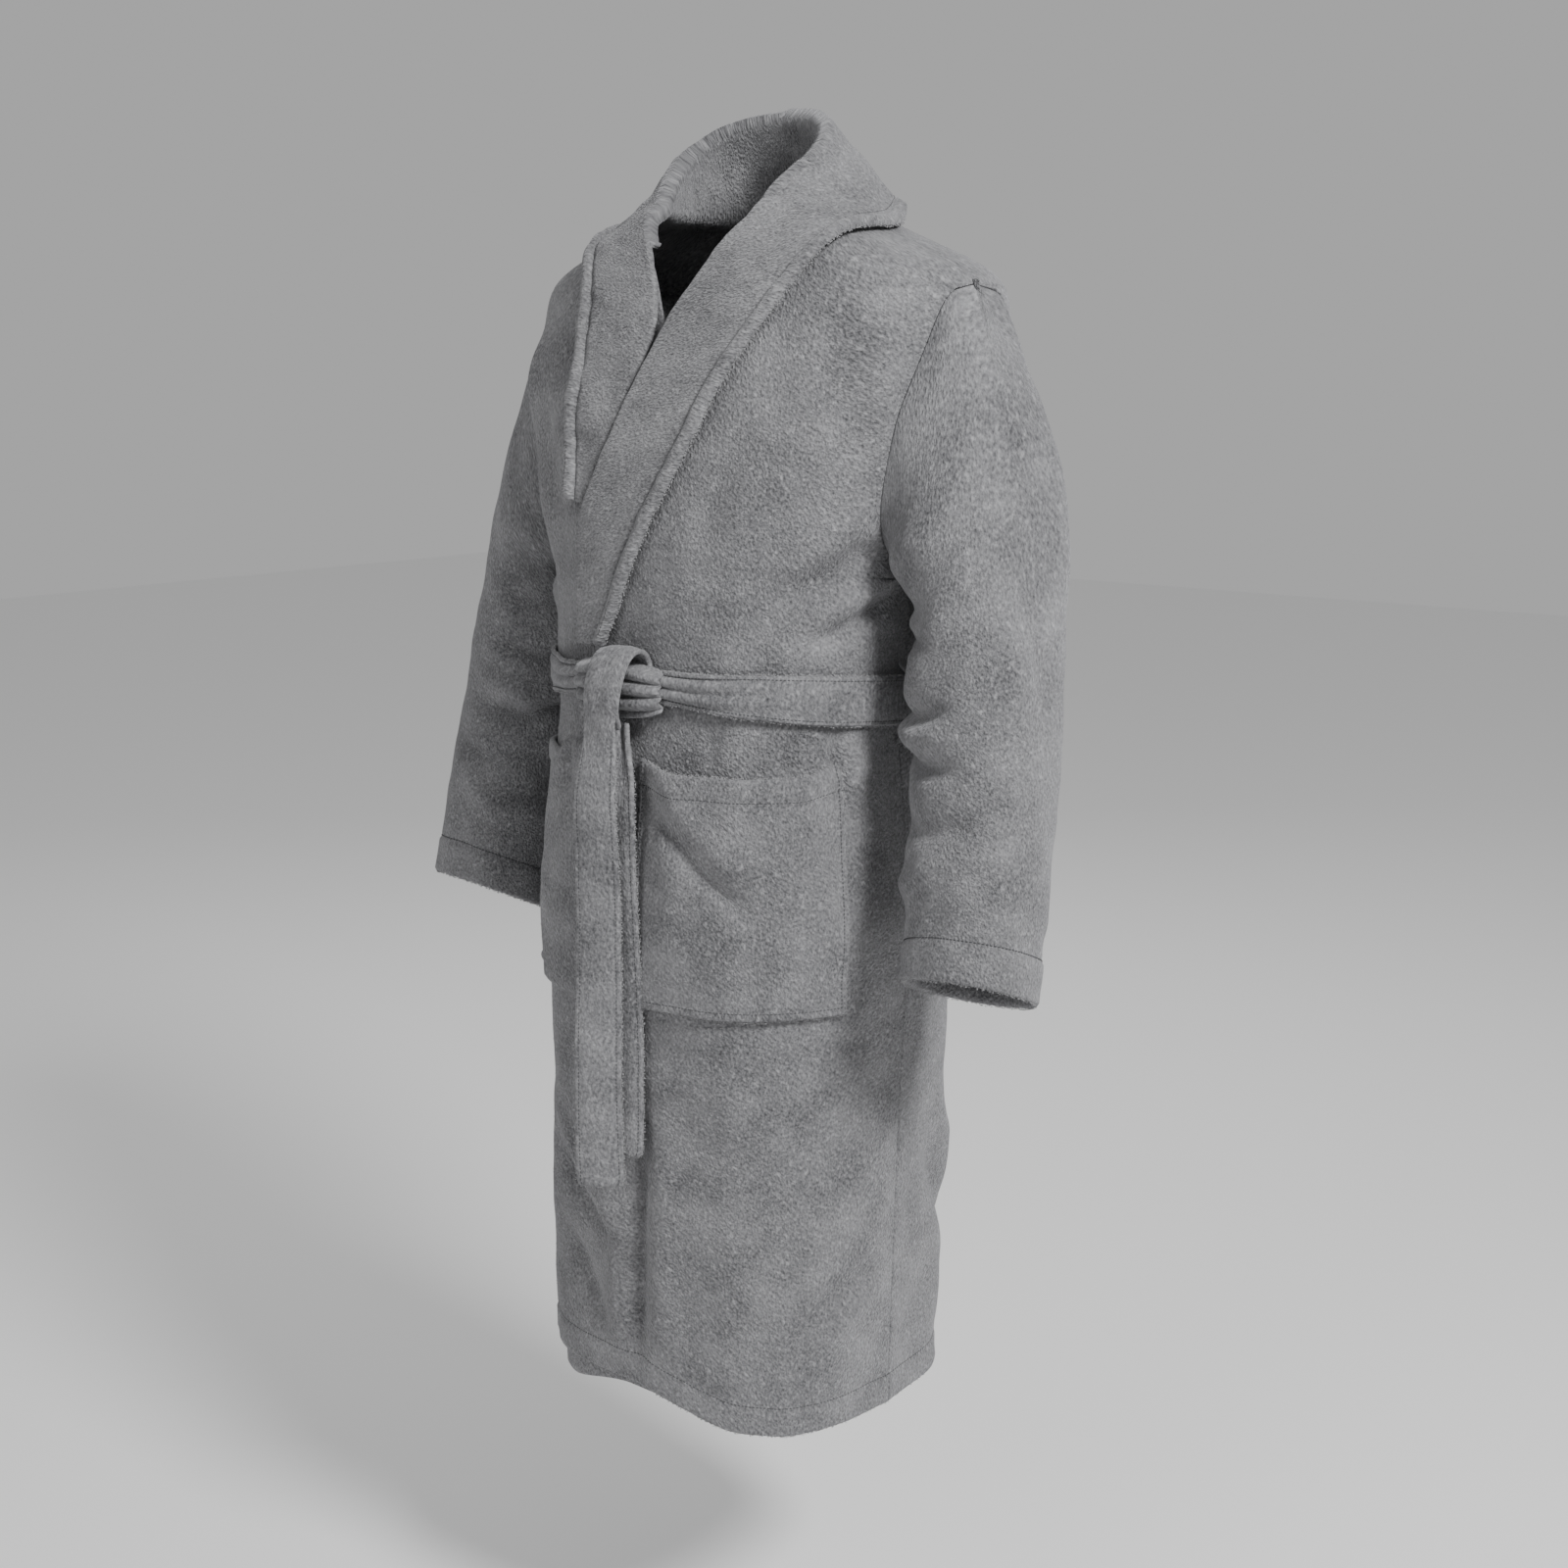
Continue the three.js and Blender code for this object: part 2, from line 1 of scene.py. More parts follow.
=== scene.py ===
import math
import bpy
import numpy as np
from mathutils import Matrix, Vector


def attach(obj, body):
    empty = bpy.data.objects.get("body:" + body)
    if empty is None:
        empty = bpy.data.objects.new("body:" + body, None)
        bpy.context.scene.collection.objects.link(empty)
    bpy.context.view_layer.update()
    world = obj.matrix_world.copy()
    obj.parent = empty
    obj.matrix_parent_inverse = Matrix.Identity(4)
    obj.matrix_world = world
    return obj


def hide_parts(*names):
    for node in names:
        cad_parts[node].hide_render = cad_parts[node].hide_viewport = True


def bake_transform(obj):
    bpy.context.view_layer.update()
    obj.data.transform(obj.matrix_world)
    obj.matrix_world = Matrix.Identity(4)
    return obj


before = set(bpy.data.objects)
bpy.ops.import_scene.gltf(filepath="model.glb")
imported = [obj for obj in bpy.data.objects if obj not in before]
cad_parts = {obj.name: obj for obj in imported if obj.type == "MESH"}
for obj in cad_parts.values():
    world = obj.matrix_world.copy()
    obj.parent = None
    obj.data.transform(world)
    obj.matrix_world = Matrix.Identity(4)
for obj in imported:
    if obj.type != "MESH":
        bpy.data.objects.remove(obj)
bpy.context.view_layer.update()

# Working coordinates are metres from the hem at the body's middle line.
# They are moved so that the hanger loop's hook point is the origin.
hookDepth = 0.063
hookHeight = 1.1178
bodyRoundness = 2.5  # power of the body's cross-section: 2 is an ellipse, more is squarer
clothPerRadian = .17  # metres of cloth for each radian round the body
gridStep = .0042  # distance between rows and columns of a cloth grid

# The worn shape: (height, value) points, with y towards the back
outline = {
    "halfWidth": [(0, .168), (.25, .176), (.47, .186), (.58, .178), (.64, .172), (.70, .176), (.78, .180),
                  (.84, .204), (.92, .226), (1.01, .235), (1.033, .232), (1.045, .205), (1.06, .160),
                  (1.08, .113), (1.09, .093), (1.2, .080)],
    "front": [(0, -.168), (.25, -.166), (.47, -.165), (.58, -.158), (.64, -.150), (.70, -.151), (.81, -.154),
              (.85, -.149), (.91, -.134), (.97, -.108), (1.025, -.087), (1.06, -.073), (1.09, -.060), (1.2, -.04)],
    "back": [(0, .168), (.25, .170), (.47, .166), (.58, .144), (.64, .134), (.70, .150), (.81, .175), (.90, .185),
             (.97, .180), (1.01, .172), (1.06, .148), (1.08, .125), (1.09, .108), (1.2, .07)],
    "middle": [(0, 0), (.64, 0), (.81, .010), (.97, .025), (1.2, .025)],
}
# Where each front ends: (height, x), with x towards the wearer's left
leftEdge = [(0, -.125), (.56, -.120), (.62, -.090), (.68, -.052), (.77, -.050), (.835, -.043), (.89, -.022),
            (.94, -.006), (.985, .006), (1.042, .038), (1.065, .062), (1.09, .090)]
rightEdge = [(0, .085), (.85, .080), (.93, .030), (.99, -.010), (1.042, -.040), (1.065, -.064), (1.09, -.090)]
neckHeight = 1.09
underarmHeight = .78
shoulderTip = (.232, 1.033)
armholeLean = .2
clothThickness = .0042


# Values at 1 mm steps of height, with the corners of the points rounded
def smoothedTable(points, spread):
    heights = np.linspace(-.1, 1.3, 1401)
    values = np.interp(heights, [p[0] for p in points], [p[1] for p in points])
    reach = int(spread * 3000)
    kernel = np.exp(-.5 * (np.arange(-reach, reach + 1) / (spread * 1000)) ** 2)
    kernel /= kernel.sum()
    padded = np.pad(values, reach, mode="edge")
    return heights, np.convolve(padded, kernel, mode="valid")


tables = {key: smoothedTable(points, .012) for key, points in outline.items()}
tables["leftEdge"] = smoothedTable(leftEdge, .012)
tables["rightEdge"] = smoothedTable(rightEdge, .012)


def look(key, h):
    heights, values = tables[key]
    return np.interp(h, heights, values)


def ease(a, b, x):
    t = np.clip((x - a) / (b - a), 0, 1)
    return t * t * (3 - 2 * t)


def mix(a, b, t):
    return a + (b - a) * t


def reachAt(h, back):
    middle = look("middle", h)
    return np.where(back, look("back", h) - middle, middle - look("front", h))


# Point on the body's surface, or offset outside it; the angle is 0 in front and grows towards the wearer's left
def bodyPoint(angle, h, offset=0.0):
    side, ahead = np.sin(angle), np.cos(angle)
    halfWidth = look("halfWidth", h) + offset
    reach = reachAt(h, ahead < 0) + offset
    size = ((np.abs(side) / halfWidth) ** bodyRoundness
            + (np.abs(ahead) / reach) ** bodyRoundness) ** (-1 / bodyRoundness)
    return np.stack([side * size, look("middle", h) - ahead * size, h + 0 * side], -1)


def angleAtX(x, h, back=False):
    share = np.minimum(1, np.abs(x) / look("halfWidth", h))
    along = reachAt(h, back) * (1 - share ** bodyRoundness) ** (1 / bodyRoundness)
    angle = np.arctan2(x, along)
    return np.pi - angle if back else angle


def armholeX(h):
    return shoulderTip[0] - armholeLean * (shoulderTip[1] - h)


# Angle of the side seam, or of the armhole where a sleeve is set in
def seamAngle(h, back=False):
    armhole = angleAtX(armholeX(h), h, back)
    armhole = np.pi - armhole if back else armhole
    inArmhole = (h > underarmHeight) & (h < shoulderTip[1])
    return np.where(inArmhole, np.minimum(np.pi / 2, armhole), np.pi / 2)


# Smooth random field over two coordinates, one lump per cell
def lumps(u, v, cell, seed):
    lattice = np.random.default_rng(seed).uniform(-1, 1, (64, 64))
    x, y = u / cell, v / cell
    xi, yi = np.floor(x).astype(int), np.floor(y).astype(int)
    fx, fy = x - xi, y - yi
    fx, fy = fx * fx * (3 - 2 * fx), fy * fy * (3 - 2 * fy)
    a = lattice[xi % 64, yi % 64]
    b = lattice[(xi + 1) % 64, yi % 64]
    c = lattice[xi % 64, (yi + 1) % 64]
    d = lattice[(xi + 1) % 64, (yi + 1) % 64]
    return mix(mix(a, b, fx), mix(c, d, fx), fy)


# Raised or sunk line through points, its depth and width in metres, fading at both ends
def crease(u, v, path, depth, width, fade=.35):
    path = np.array(path, float)
    lengths = np.linalg.norm(np.diff(path, axis=0), axis=1)
    starts = np.concatenate([[0], np.cumsum(lengths)])
    best = np.full(u.shape, 1e9)
    along = np.zeros(u.shape)
    for i, length in enumerate(lengths):
        d = (path[i + 1] - path[i]) / length
        t = np.clip((u - path[i][0]) * d[0] + (v - path[i][1]) * d[1], 0, length)
        gap = np.hypot(u - path[i][0] - d[0] * t, v - path[i][1] - d[1] * t)
        nearer = gap < best
        best = np.where(nearer, gap, best)
        along = np.where(nearer, (starts[i] + t) / starts[-1], along)
    taper = ease(0, fade, along) * (1 - ease(1 - fade, 1, along))
    return depth * np.exp(-(best / width) ** 2) * taper


# Shares from 0 to 1, closer together at both ends so that an edge can be rounded
def shares(count, length, roll=.003):
    ends = [0, .06 * roll / length, .3 * roll / length, roll / length]
    body = np.linspace(roll / length, 1 - roll / length, count)
    return np.array(ends[:-1] + list(body) + [1 - e for e in ends[:-1]][::-1])


def gridNormals(grid, around=False):
    if around:
        du = np.roll(grid, -1, 1) - np.roll(grid, 1, 1)
    else:
        du = np.gradient(grid, axis=1)
    dv = np.gradient(grid, axis=0)
    n = np.cross(du, dv)
    return n / np.maximum(np.linalg.norm(n, axis=-1, keepdims=True), 1e-12)


# Working coordinates to the shared frame
def toRow(points):
    return points - np.array([0, hookDepth, hookHeight])


# Normals turned to the side that outward(grid) points to
def outerNormals(grid, outward, around=False):
    normals = gridNormals(grid, around)
    return -normals if np.sum((normals * outward(grid)).sum(-1)) < 0 else normals


# Cloth of a real thickness from a grid of middle points, with edges rounded over the roll distances.
# For a tube, around is the width at which the pattern's first coordinate comes round again.
def clothMesh(name, grid, uv, half, roll, outward, around=0.0):
    rows, cols = grid.shape[:2]
    normals = outerNormals(grid, outward, around)
    half = np.broadcast_to(half, (rows, cols)).astype(float)
    dr = np.linalg.norm(np.diff(grid, axis=0), axis=-1)
    down = np.concatenate([np.zeros((1, cols)), np.cumsum(dr, 0)])
    up = down[-1:] - down
    profile = np.ones((rows, cols))
    sides = [(down, roll[0]), (up, roll[1])]
    if not around:
        dc = np.linalg.norm(np.diff(grid, axis=1), axis=-1)
        left = np.concatenate([np.zeros((rows, 1)), np.cumsum(dc, 1)], 1)
        sides += [(left, roll[2]), (left[:, -1:] - left, roll[3])]
    for distance, radius in sides:
        t = np.clip(distance / max(radius, 1e-6), 0, 1)
        profile = np.minimum(profile, np.sqrt(np.maximum(0, 1 - (1 - t) ** 2)))
    top = grid + normals * (half * profile)[..., None]
    bottom = grid - normals * (half * profile)[..., None]
    number = np.arange(rows * cols).reshape(rows, cols)
    under = np.full((rows, cols), -1)
    inner = np.ones((rows, cols), bool)
    inner[0], inner[-1] = False, False
    if not around:
        inner[:, 0], inner[:, -1] = False, False
    under[inner] = rows * cols + np.arange(inner.sum())
    under[~inner] = number[~inner]
    points = np.concatenate([top.reshape(-1, 3), bottom[inner]])
    points[number[~inner]] = grid[~inner]
    nextCol = np.roll(number, -1, 1) if around else number[:, 1:]
    nextUnder = np.roll(under, -1, 1) if around else under[:, 1:]
    a, b = (number, nextCol) if around else (number[:, :-1], nextCol)
    c, d = (under, nextUnder) if around else (under[:, :-1], nextUnder)
    upper = np.stack([a[:-1], b[:-1], b[1:], a[1:]], -1).reshape(-1, 4)
    lower = np.stack([c[:-1], c[1:], d[1:], d[:-1]], -1).reshape(-1, 4)
    faces = np.concatenate([upper, lower])
    facing = np.cross(points[upper[:, 1]] - points[upper[:, 0]], points[upper[:, 3]] - points[upper[:, 0]])
    if np.sum((facing * normals.reshape(-1, 3)[upper[:, 0]]).sum(-1)) < 0:
        faces = faces[:, ::-1]
    mesh = bpy.data.meshes.new(name)
    mesh.vertices.add(len(points))
    mesh.vertices.foreach_set("co", toRow(points).ravel())
    mesh.loops.add(faces.size)
    mesh.loops.foreach_set("vertex_index", faces.ravel())
    mesh.polygons.add(len(faces))
    mesh.polygons.foreach_set("loop_start", np.arange(0, faces.size, 4))
    mesh.polygons.foreach_set("use_smooth", np.ones(len(faces), bool))
    flat = np.asarray(uv).reshape(-1, 2)
    both = np.concatenate([flat, flat.reshape(rows, cols, 2)[inner]])
    layer = mesh.uv_layers.new(name="cloth")
    corners = both[faces]
    if around:
        wraps = corners[..., 0].max(1) - corners[..., 0].min(1) > around / 2
        early = corners[..., 0] < corners[..., 0].max(1, keepdims=True) - around / 2
        corners[..., 0] += np.where(wraps[:, None] & early, around, 0)
    layer.data.foreach_set("uv", corners.ravel())
    mesh.update(calc_edges=True)
    mesh.validate()
    obj = bpy.data.objects.new(name, mesh)
    bpy.context.collection.objects.link(obj)
    return obj


# Path of points smoothed along its first axis, kept at both ends, with rows at the given shares of its length
def smoothPath(points, rowShares, spread=.010, step=.001):
    points = np.asarray(points, float)
    flat = points.reshape(len(points), -1)
    gaps = np.linalg.norm(np.diff(points, axis=0), axis=-1)
    gaps = gaps if gaps.ndim == 1 else gaps.reshape(len(gaps), -1).mean(1)
    at = np.concatenate([[0], np.cumsum(gaps)])
    count = max(8, int(at[-1] / step))
    dense = np.linspace(0, at[-1], count)
    values = np.stack([np.interp(dense, at, flat[:, i]) for i in range(flat.shape[1])], 1)
    reach = min(int(3 * spread / step), count - 1)
    kernel = np.exp(-.5 * (np.arange(-reach, reach + 1) * step / spread) ** 2)
    kernel /= kernel.sum()
    before = 2 * values[:1] - values[reach:0:-1]
    after = 2 * values[-1:] - values[-2:-reach - 2:-1]
    long = np.concatenate([before, values, after])
    smooth = np.stack([np.convolve(long[:, i], kernel, mode="valid") for i in range(long.shape[1])], 1)
    wanted = np.asarray(rowShares) * at[-1]
    result = np.stack([np.interp(wanted, dense, smooth[:, i]) for i in range(smooth.shape[1])], 1)
    return result.reshape((len(wanted),) + points.shape[1:])


def lengthAcross(grid):
    steps = np.linalg.norm(np.diff(grid, axis=1), axis=-1)
    return np.concatenate([np.zeros((len(grid), 1)), np.cumsum(steps, 1)], 1)


def lengthDown(grid):
    steps = np.linalg.norm(np.diff(grid, axis=0), axis=-1)
    return np.concatenate([np.zeros((1, grid.shape[1])), np.cumsum(steps, 0)])


belt = {"clearance": .0028, "width": .043, "widthAtKnot": .027, "length": 1.1, "thickness": .0036,
        "half": .0019, "frontHeight": .685, "sideHeight": .668, "backHeight": .615}
knot = {"x": -.012, "halfWidth": .030, "height": .683, "halfHeight": .031}
hem = {"depth": .028, "lift": .038, "fade": .40}
overlap = {"lift": .0050, "liftAtHem": .0032, "liftAtPocket": .0062}
collarEdgeLeft = [(.716, -.024), (.775, .003), (.83, .03), (.888, .059), (.94, .077), (.985, .096),
                  (1.03, .122), (1.062, .136)]
collarRollLeft = [(.716, -.054), (.775, -.056), (.83, -.049), (.888, -.028), (.94, -.012), (.985, .002),
                  (1.03, .026), (1.062, .046)]
collarEdgeRight = [(.838, .078), (.888, .088), (.94, .099), (.99, .108), (1.03, .118), (1.062, .132)]
collarRollRight = [(.838, .06), (.888, .038), (.94, .023), (.99, .015), (1.03, .03), (1.062, .047)]


def beltHeight(angle):
    ahead = np.cos(angle)
    side = belt["sideHeight"]
    return np.where(ahead > 0, mix(side, belt["frontHeight"], ahead), mix(side, belt["backHeight"], -ahead))


# How far the outer front stands off the body, to clear the under front and its pocket
def overlapLift(x, h):
    overFront = 1 - ease(.095, .130, x)
    overHem = 1 - ease(.030, .125, h)
    beside = ease(-.003, .011, -x)
    within = ease(.388, .398, h) * (1 - ease(.622, .632, h))
    onFront = overFront * (overlap["lift"] + overHem * overlap["liftAtHem"])
    return onFront + beside * within * overlap["liftAtPocket"]


def noLift(x, h):
    return 0 * x


# Folds of the worn cloth: (angle in degrees, height) points, depth outward and width in metres
foldsAhead = [
    ([(67, 1.01), (66, .961), (69, .905), (74, .86)], .0065, .013),
    ([(57, 1.0), (57, .95), (60, .90)], -.0045, .014),
    ([(88, .795), (70, .765), (52, .735)], .0055, .012),
    ([(86, .772), (68, .74), (52, .716)], -.0070, .010),
    ([(80, .825), (62, .788), (46, .753)], -.0070, .012),
    ([(78, .86), (58, .81), (38, .77)], .0050, .015),
    ([(66, .66), (64, .605)], -.0060, .008),
    ([(72, .655), (71, .575)], .0045, .009),
    ([(52, .655), (50, .60)], -.0035, .008),
    ([(30, .655), (29, .61)], -.0030, .007),
    ([(7, .597), (30, .521), (46, .477)], -.0050, .009),
    ([(10, .622), (34, .545), (52, .50)], .0035, .012),
    ([(4, .32), (5, .18), (5, .02)], -.0060, .010),
    ([(12, .36), (13, .2), (14, .03)], .0055, .016),
    ([(-9, .30), (-6, .15), (-5, .03)], .0045, .014),
    ([(-40, .25), (-16, .186), (0, .146)], -.0055, .012),
    ([(-40, .28), (-16, .216), (-2, .18)], .0040, .013),
    ([(-34, .17), (-14, .10), (-3, .06)], -.0040, .012),
    ([(84, .155), (58, .118)], -.0045, .014),
    ([(82, .125), (56, .085)], .0045, .014),
    ([(40, .36), (62, .26), (86, .20)], -.0035, .018),
    ([(-60, .64), (-58, .56)], -.0045, .009),
    ([(-75, .64), (-73, .55)], .0045, .010),
    ([(-30, .64), (-27, .57)], -.0040, .008),
    ([(-67, 1.01), (-66, .961), (-69, .905), (-74, .86)], .0065, .013),
    ([(-88, .795), (-70, .765), (-52, .735)], .0055, .012),
    ([(-80, .825), (-62, .788), (-46, .753)], -.0065, .012),
    ([(-60, .95), (-44, .87), (-30, .80)], -.0040, .016),
    ([(40, .93), (30, .85), (22, .79)], -.0035, .014),
    ([(64, .91), (50, .85), (38, .81)], -.0045, .012),
]
foldsBehind = [
    ([(134, .99), (131, .90), (126, .83), (118, .72)], .0085, .015),
    ([(144, .97), (140, .89), (133, .81), (124, .72)], -.0070, .014),
    ([(122, .93), (118, .86), (112, .79)], -.0050, .012),
    ([(226, .99), (229, .90), (234, .83), (242, .72)], .0085, .015),
    ([(216, .97), (220, .89), (227, .81), (236, .72)], -.0070, .014),
    ([(238, .93), (242, .86), (248, .79)], -.0050, .012),
    ([(182, .83), (181, .74), (180, .655)], .0060, .013),
    ([(174, .80), (175, .72), (174, .65)], -.0060, .010),
    ([(190, .78), (190, .70), (189, .65)], -.0060, .010),
    ([(199, .73), (207, .69), (213, .655)], -.0055, .010),
    ([(161, .74), (154, .69), (148, .655)], -.0050, .010),
    ([(166, .585), (165, .54), (168, .48)], -.0080, .009),
    ([(172, .585), (172, .54), (174, .50)], .0060, .008),
    ([(178, .585), (179, .53), (180, .47)], -.0085, .009),
    ([(184, .585), (184, .54), (183, .50)], .0060, .008),
    ([(190, .585), (189, .54), (187, .48)], -.0075, .009),
    ([(200, .59), (203, .52), (202, .46)], -.0055, .011),
    ([(225, .60), (220, .50), (217, .44)], -.0065, .012),
    ([(156, .59), (153, .53), (154, .47)], -.0050, .011),
    ([(138, .61), (140, .53)], -.0050, .010),
    ([(118, .63), (119, .56)], -.0045, .009),
    ([(242, .63), (240, .56)], -.0045, .009),
    ([(258, .34), (232, .285), (208, .25)], -.0055, .016),
    ([(258, .375), (232, .32), (206, .285)], .0050, .016),
    ([(250, .28), (224, .12), (214, .04)], -.0070, .016),
    ([(240, .28), (214, .13), (205, .04)], .0055, .018),
    ([(104, .26), (124, .17), (143, .09)], -.0065, .016),
    ([(108, .30), (130, .21), (150, .13)], .0050, .018),
    ([(172, .42), (176, .22), (178, .02)], .0050, .020),
    ([(186, .40), (190, .22), (192, .02)], -.0050, .018),
    ([(150, .40), (158, .22), (162, .02)], -.0045, .018),
    ([(166, .96), (162, .90), (164, .84)], -.0035, .018),
    ([(196, .95), (199, .89), (196, .83)], -.0035, .018),
]


drape = {"foldStrength": 1.45, "longWave": .0030, "wave": .0022, "ripple": .0009, "besideBelt": .35,
         "besideSeam": .12}


def folds(angle, h, behind):
    turn = angle * clothPerRadian
    total = np.zeros(np.shape(angle))
    for path, depth, width in (foldsBehind if behind else foldsAhead):
        line = [(math.radians(a) * clothPerRadian, height) for a, height in path]
        total += drape["foldStrength"] * crease(turn, h, line, depth, width)
    total += drape["longWave"] * lumps(turn + 3, h * .45 + 3, .060, 5) * (1 - .6 * ease(.3, .62, h))
    total += drape["wave"] * lumps(turn + 3, h + 3, .055, 7)
    total += drape["ripple"] * lumps(turn + 3, h + 3, .022, 8)
    held = ease(.016, .060, np.abs(h - beltHeight(angle)))  # the belt presses the cloth flat
    total = np.where(total > 0, total * held, total * mix(drape["besideBelt"], 1, held))
    total *= 1 - .75 * ease(.93, 1.03, h)
    x = bodyPoint(angle, h)[..., 0]
    if not behind:
        edge = np.where(x > 0, np.interp(h, *zip(*collarEdgeLeft)), np.interp(h, *zip(*collarEdgeRight)))
        onCollar = (1 - ease(edge - .004, edge + .030, np.abs(x))) * ease(.69, .74, h)
        total *= 1 - .9 * onCollar
    return total


# Grid of one body panel between two angles, which change with height
def panelGrid(heights, columns, start, end, lift, hemLift, behind, sink=clothThickness / 2):
    h = np.asarray(heights)[:, None] + 0 * columns[None, :]
    s, e = start(np.asarray(heights))[:, None], end(np.asarray(heights))[:, None]
    angle = s + (e - s) * columns[None, :]
    x = bodyPoint(angle, h)[..., 0]
    raised = h + hemLift(x) * (1 - ease(0, hem["fade"], h))
    fromSeam = abs(abs(angle - (np.pi if behind else 0)) - seamAngle(h, behind))
    calm = ease(0, drape["besideSeam"], fromSeam)  # no fold right at a seam, so that both sides of it meet
    grid = bodyPoint(angle, raised, lift(x, h) - sink + folds(angle, raised, behind) * calm)
    return grid, angle, h


# Half thickness of a panel, more where the hem is turned up and less along its stitches
def hemHalf(h):
    turned = 1 - ease(hem["depth"] - .002, hem["depth"] + .0015, h)
    groove = np.exp(-((h - hem["depth"]) / .0016) ** 2)
    return .0021 + .0013 * turned - .0009 * groove


def leftHem(x):
    return hem["lift"] * (1 - ease(0, .15, x))


def rightHem(x):
    return .75 * hem["lift"] * (1 - ease(0, .15, -x))


def levelHem(x):
    return 0 * x


def fromAxis(grid):
    middle = np.stack([0 * grid[..., 0], look("middle", grid[..., 2]), grid[..., 2]], -1)
    return grid - middle


# Where stitches and pile go: (body, points), filled by the pieces below
stitchRuns = []
edgeRuns = []


# The cloth's outer face, a little under its surface
def outerFace(grid, half, outward, sink=.0001):
    return grid + outerNormals(grid, outward) * (np.broadcast_to(half, grid.shape[:2]) - sink)[..., None]


panelCut = {"backWidth": .56, "frontWidth": .42, "seamLap": .002, "seamRoll": .0016, "edgeRoll": .0030,
            "coveredStep": 1.3}


def panels():
    lap, seam, free = panelCut["seamLap"], panelCut["seamRoll"], panelCut["edgeRoll"]
    heights = shares(int(neckHeight / gridStep), neckHeight) * neckHeight
    hemRow = np.argmin(abs(heights - hem["depth"]))
    columns = shares(int(panelCut["backWidth"] / gridStep), panelCut["backWidth"], seam)
    grid, angle, h = panelGrid(heights, columns, lambda q: np.pi - seamAngle(q, True) - lap,
                               lambda q: np.pi + seamAngle(q, True) + lap, noLift, levelHem, True)
    half = hemHalf(h)
    back = clothMesh("back_panel_cloth", grid, np.stack([angle * clothPerRadian, h], -1), half,
                     (free, free, seam, seam), fromAxis)
    stitchRuns.append(("robe", outerFace(grid, half, fromAxis)[hemRow]))
    edgeRuns.append(("robe", grid[0]))
    columns = shares(int(panelCut["frontWidth"] / gridStep), panelCut["frontWidth"])
    grid, angle, h = panelGrid(heights, columns, lambda q: angleAtX(look("leftEdge", q), q),
                               lambda q: seamAngle(q) + lap, overlapLift, leftHem, False)
    half = hemHalf(h)
    left = clothMesh("left_front_cloth", grid, np.stack([angle * clothPerRadian + 2, h], -1), half,
                     (free, free, free, seam), fromAxis)
    stitchRuns.append(("free_front_edge", outerFace(grid, half, fromAxis)[hemRow]))
    belowBelt = grid[heights < .66]
    edgeRuns.append(("free_front_edge", np.concatenate([grid[0][::-1], belowBelt[1:, 0]])))
    # The under front is mostly covered, so its grid is coarser
    step = gridStep * panelCut["coveredStep"]
    columns = shares(int(panelCut["frontWidth"] / step), panelCut["frontWidth"])
    heights = shares(int(neckHeight / step), neckHeight) * neckHeight
    grid, angle, h = panelGrid(heights, columns, lambda q: -seamAngle(q) - lap,
                               lambda q: angleAtX(look("rightEdge", q), q), noLift, rightHem, False)
    right = clothMesh("right_front_cloth", grid, np.stack([angle * clothPerRadian + 4, h], -1), hemHalf(h),
                      (free, free, seam, free), fromAxis)
    return back, left, right


# Rings from the armhole to the sleeve's end: (x, height) next to the body and outside, y, half its depth, lean
sleeveSections = [
    {"inner": (.190, .752), "outer": (.275, .945), "y": .028, "half": .090, "lean": 0},
    {"inner": (.191, .722), "outer": (.305, .840), "y": .020, "half": .084, "lean": 0},
    {"inner": (.192, .692), "outer": (.324, .750), "y": .010, "half": .076, "lean": .08},
    {"inner": (.204, .622), "outer": (.336, .645), "y": -.008, "half": .068, "lean": .18},
    {"inner": (.219, .528), "outer": (.345, .536), "y": -.032, "half": .060, "lean": .27},
    {"inner": (.230, .436), "outer": (.350, .434), "y": -.057, "half": .054, "lean": .32},
]
# Folds on a sleeve: (share round the arm, metres from the shoulder); 0 outside, .25 front, .5 inside, .75 back
foldsOnSleeve = [
    ([(.50, .03), (.36, .10), (.24, .17)], -.0060, .012),
    ([(.44, .02), (.30, .08), (.18, .14)], .0050, .014),
    ([(.50, .10), (.36, .17), (.22, .22)], -.0055, .011),
    ([(.52, .20), (.36, .245), (.20, .25)], -.0070, .011),
    ([(.50, .24), (.34, .275), (.16, .27)], .0060, .012),
    ([(.52, .27), (.36, .31), (.18, .32)], -.0070, .011),
    ([(.46, .33), (.30, .355), (.12, .34)], -.0045, .012),
    ([(.50, .39), (.34, .40), (.20, .37)], .0040, .012),
    ([(.12, .14), (.04, .22), (.02, .30)], -.0035, .016),
    ([(.62, .05), (.74, .12), (.84, .20)], -.0060, .013),
    ([(.58, .14), (.70, .20), (.84, .27)], .0060, .014),
    ([(.56, .20), (.70, .27), (.86, .32)], -.0060, .012),
    ([(.60, .30), (.74, .34), (.88, .36)], -.0050, .012),
    ([(.66, .38), (.80, .43), (.94, .44)], -.0035, .014),
    ([(.94, .06), (.90, .14), (.92, .22)], .0040, .016),
    ([(.20, .42), (.28, .48), (.32, .53)], -.0035, .014),
]


sleeveCut = {"girth": .42, "length": .56, "columns": 108, "hemDepth": .035, "foldStrength": 1.5,
             "patternRadius": .068, "wave": .0028, "ripple": .0010}


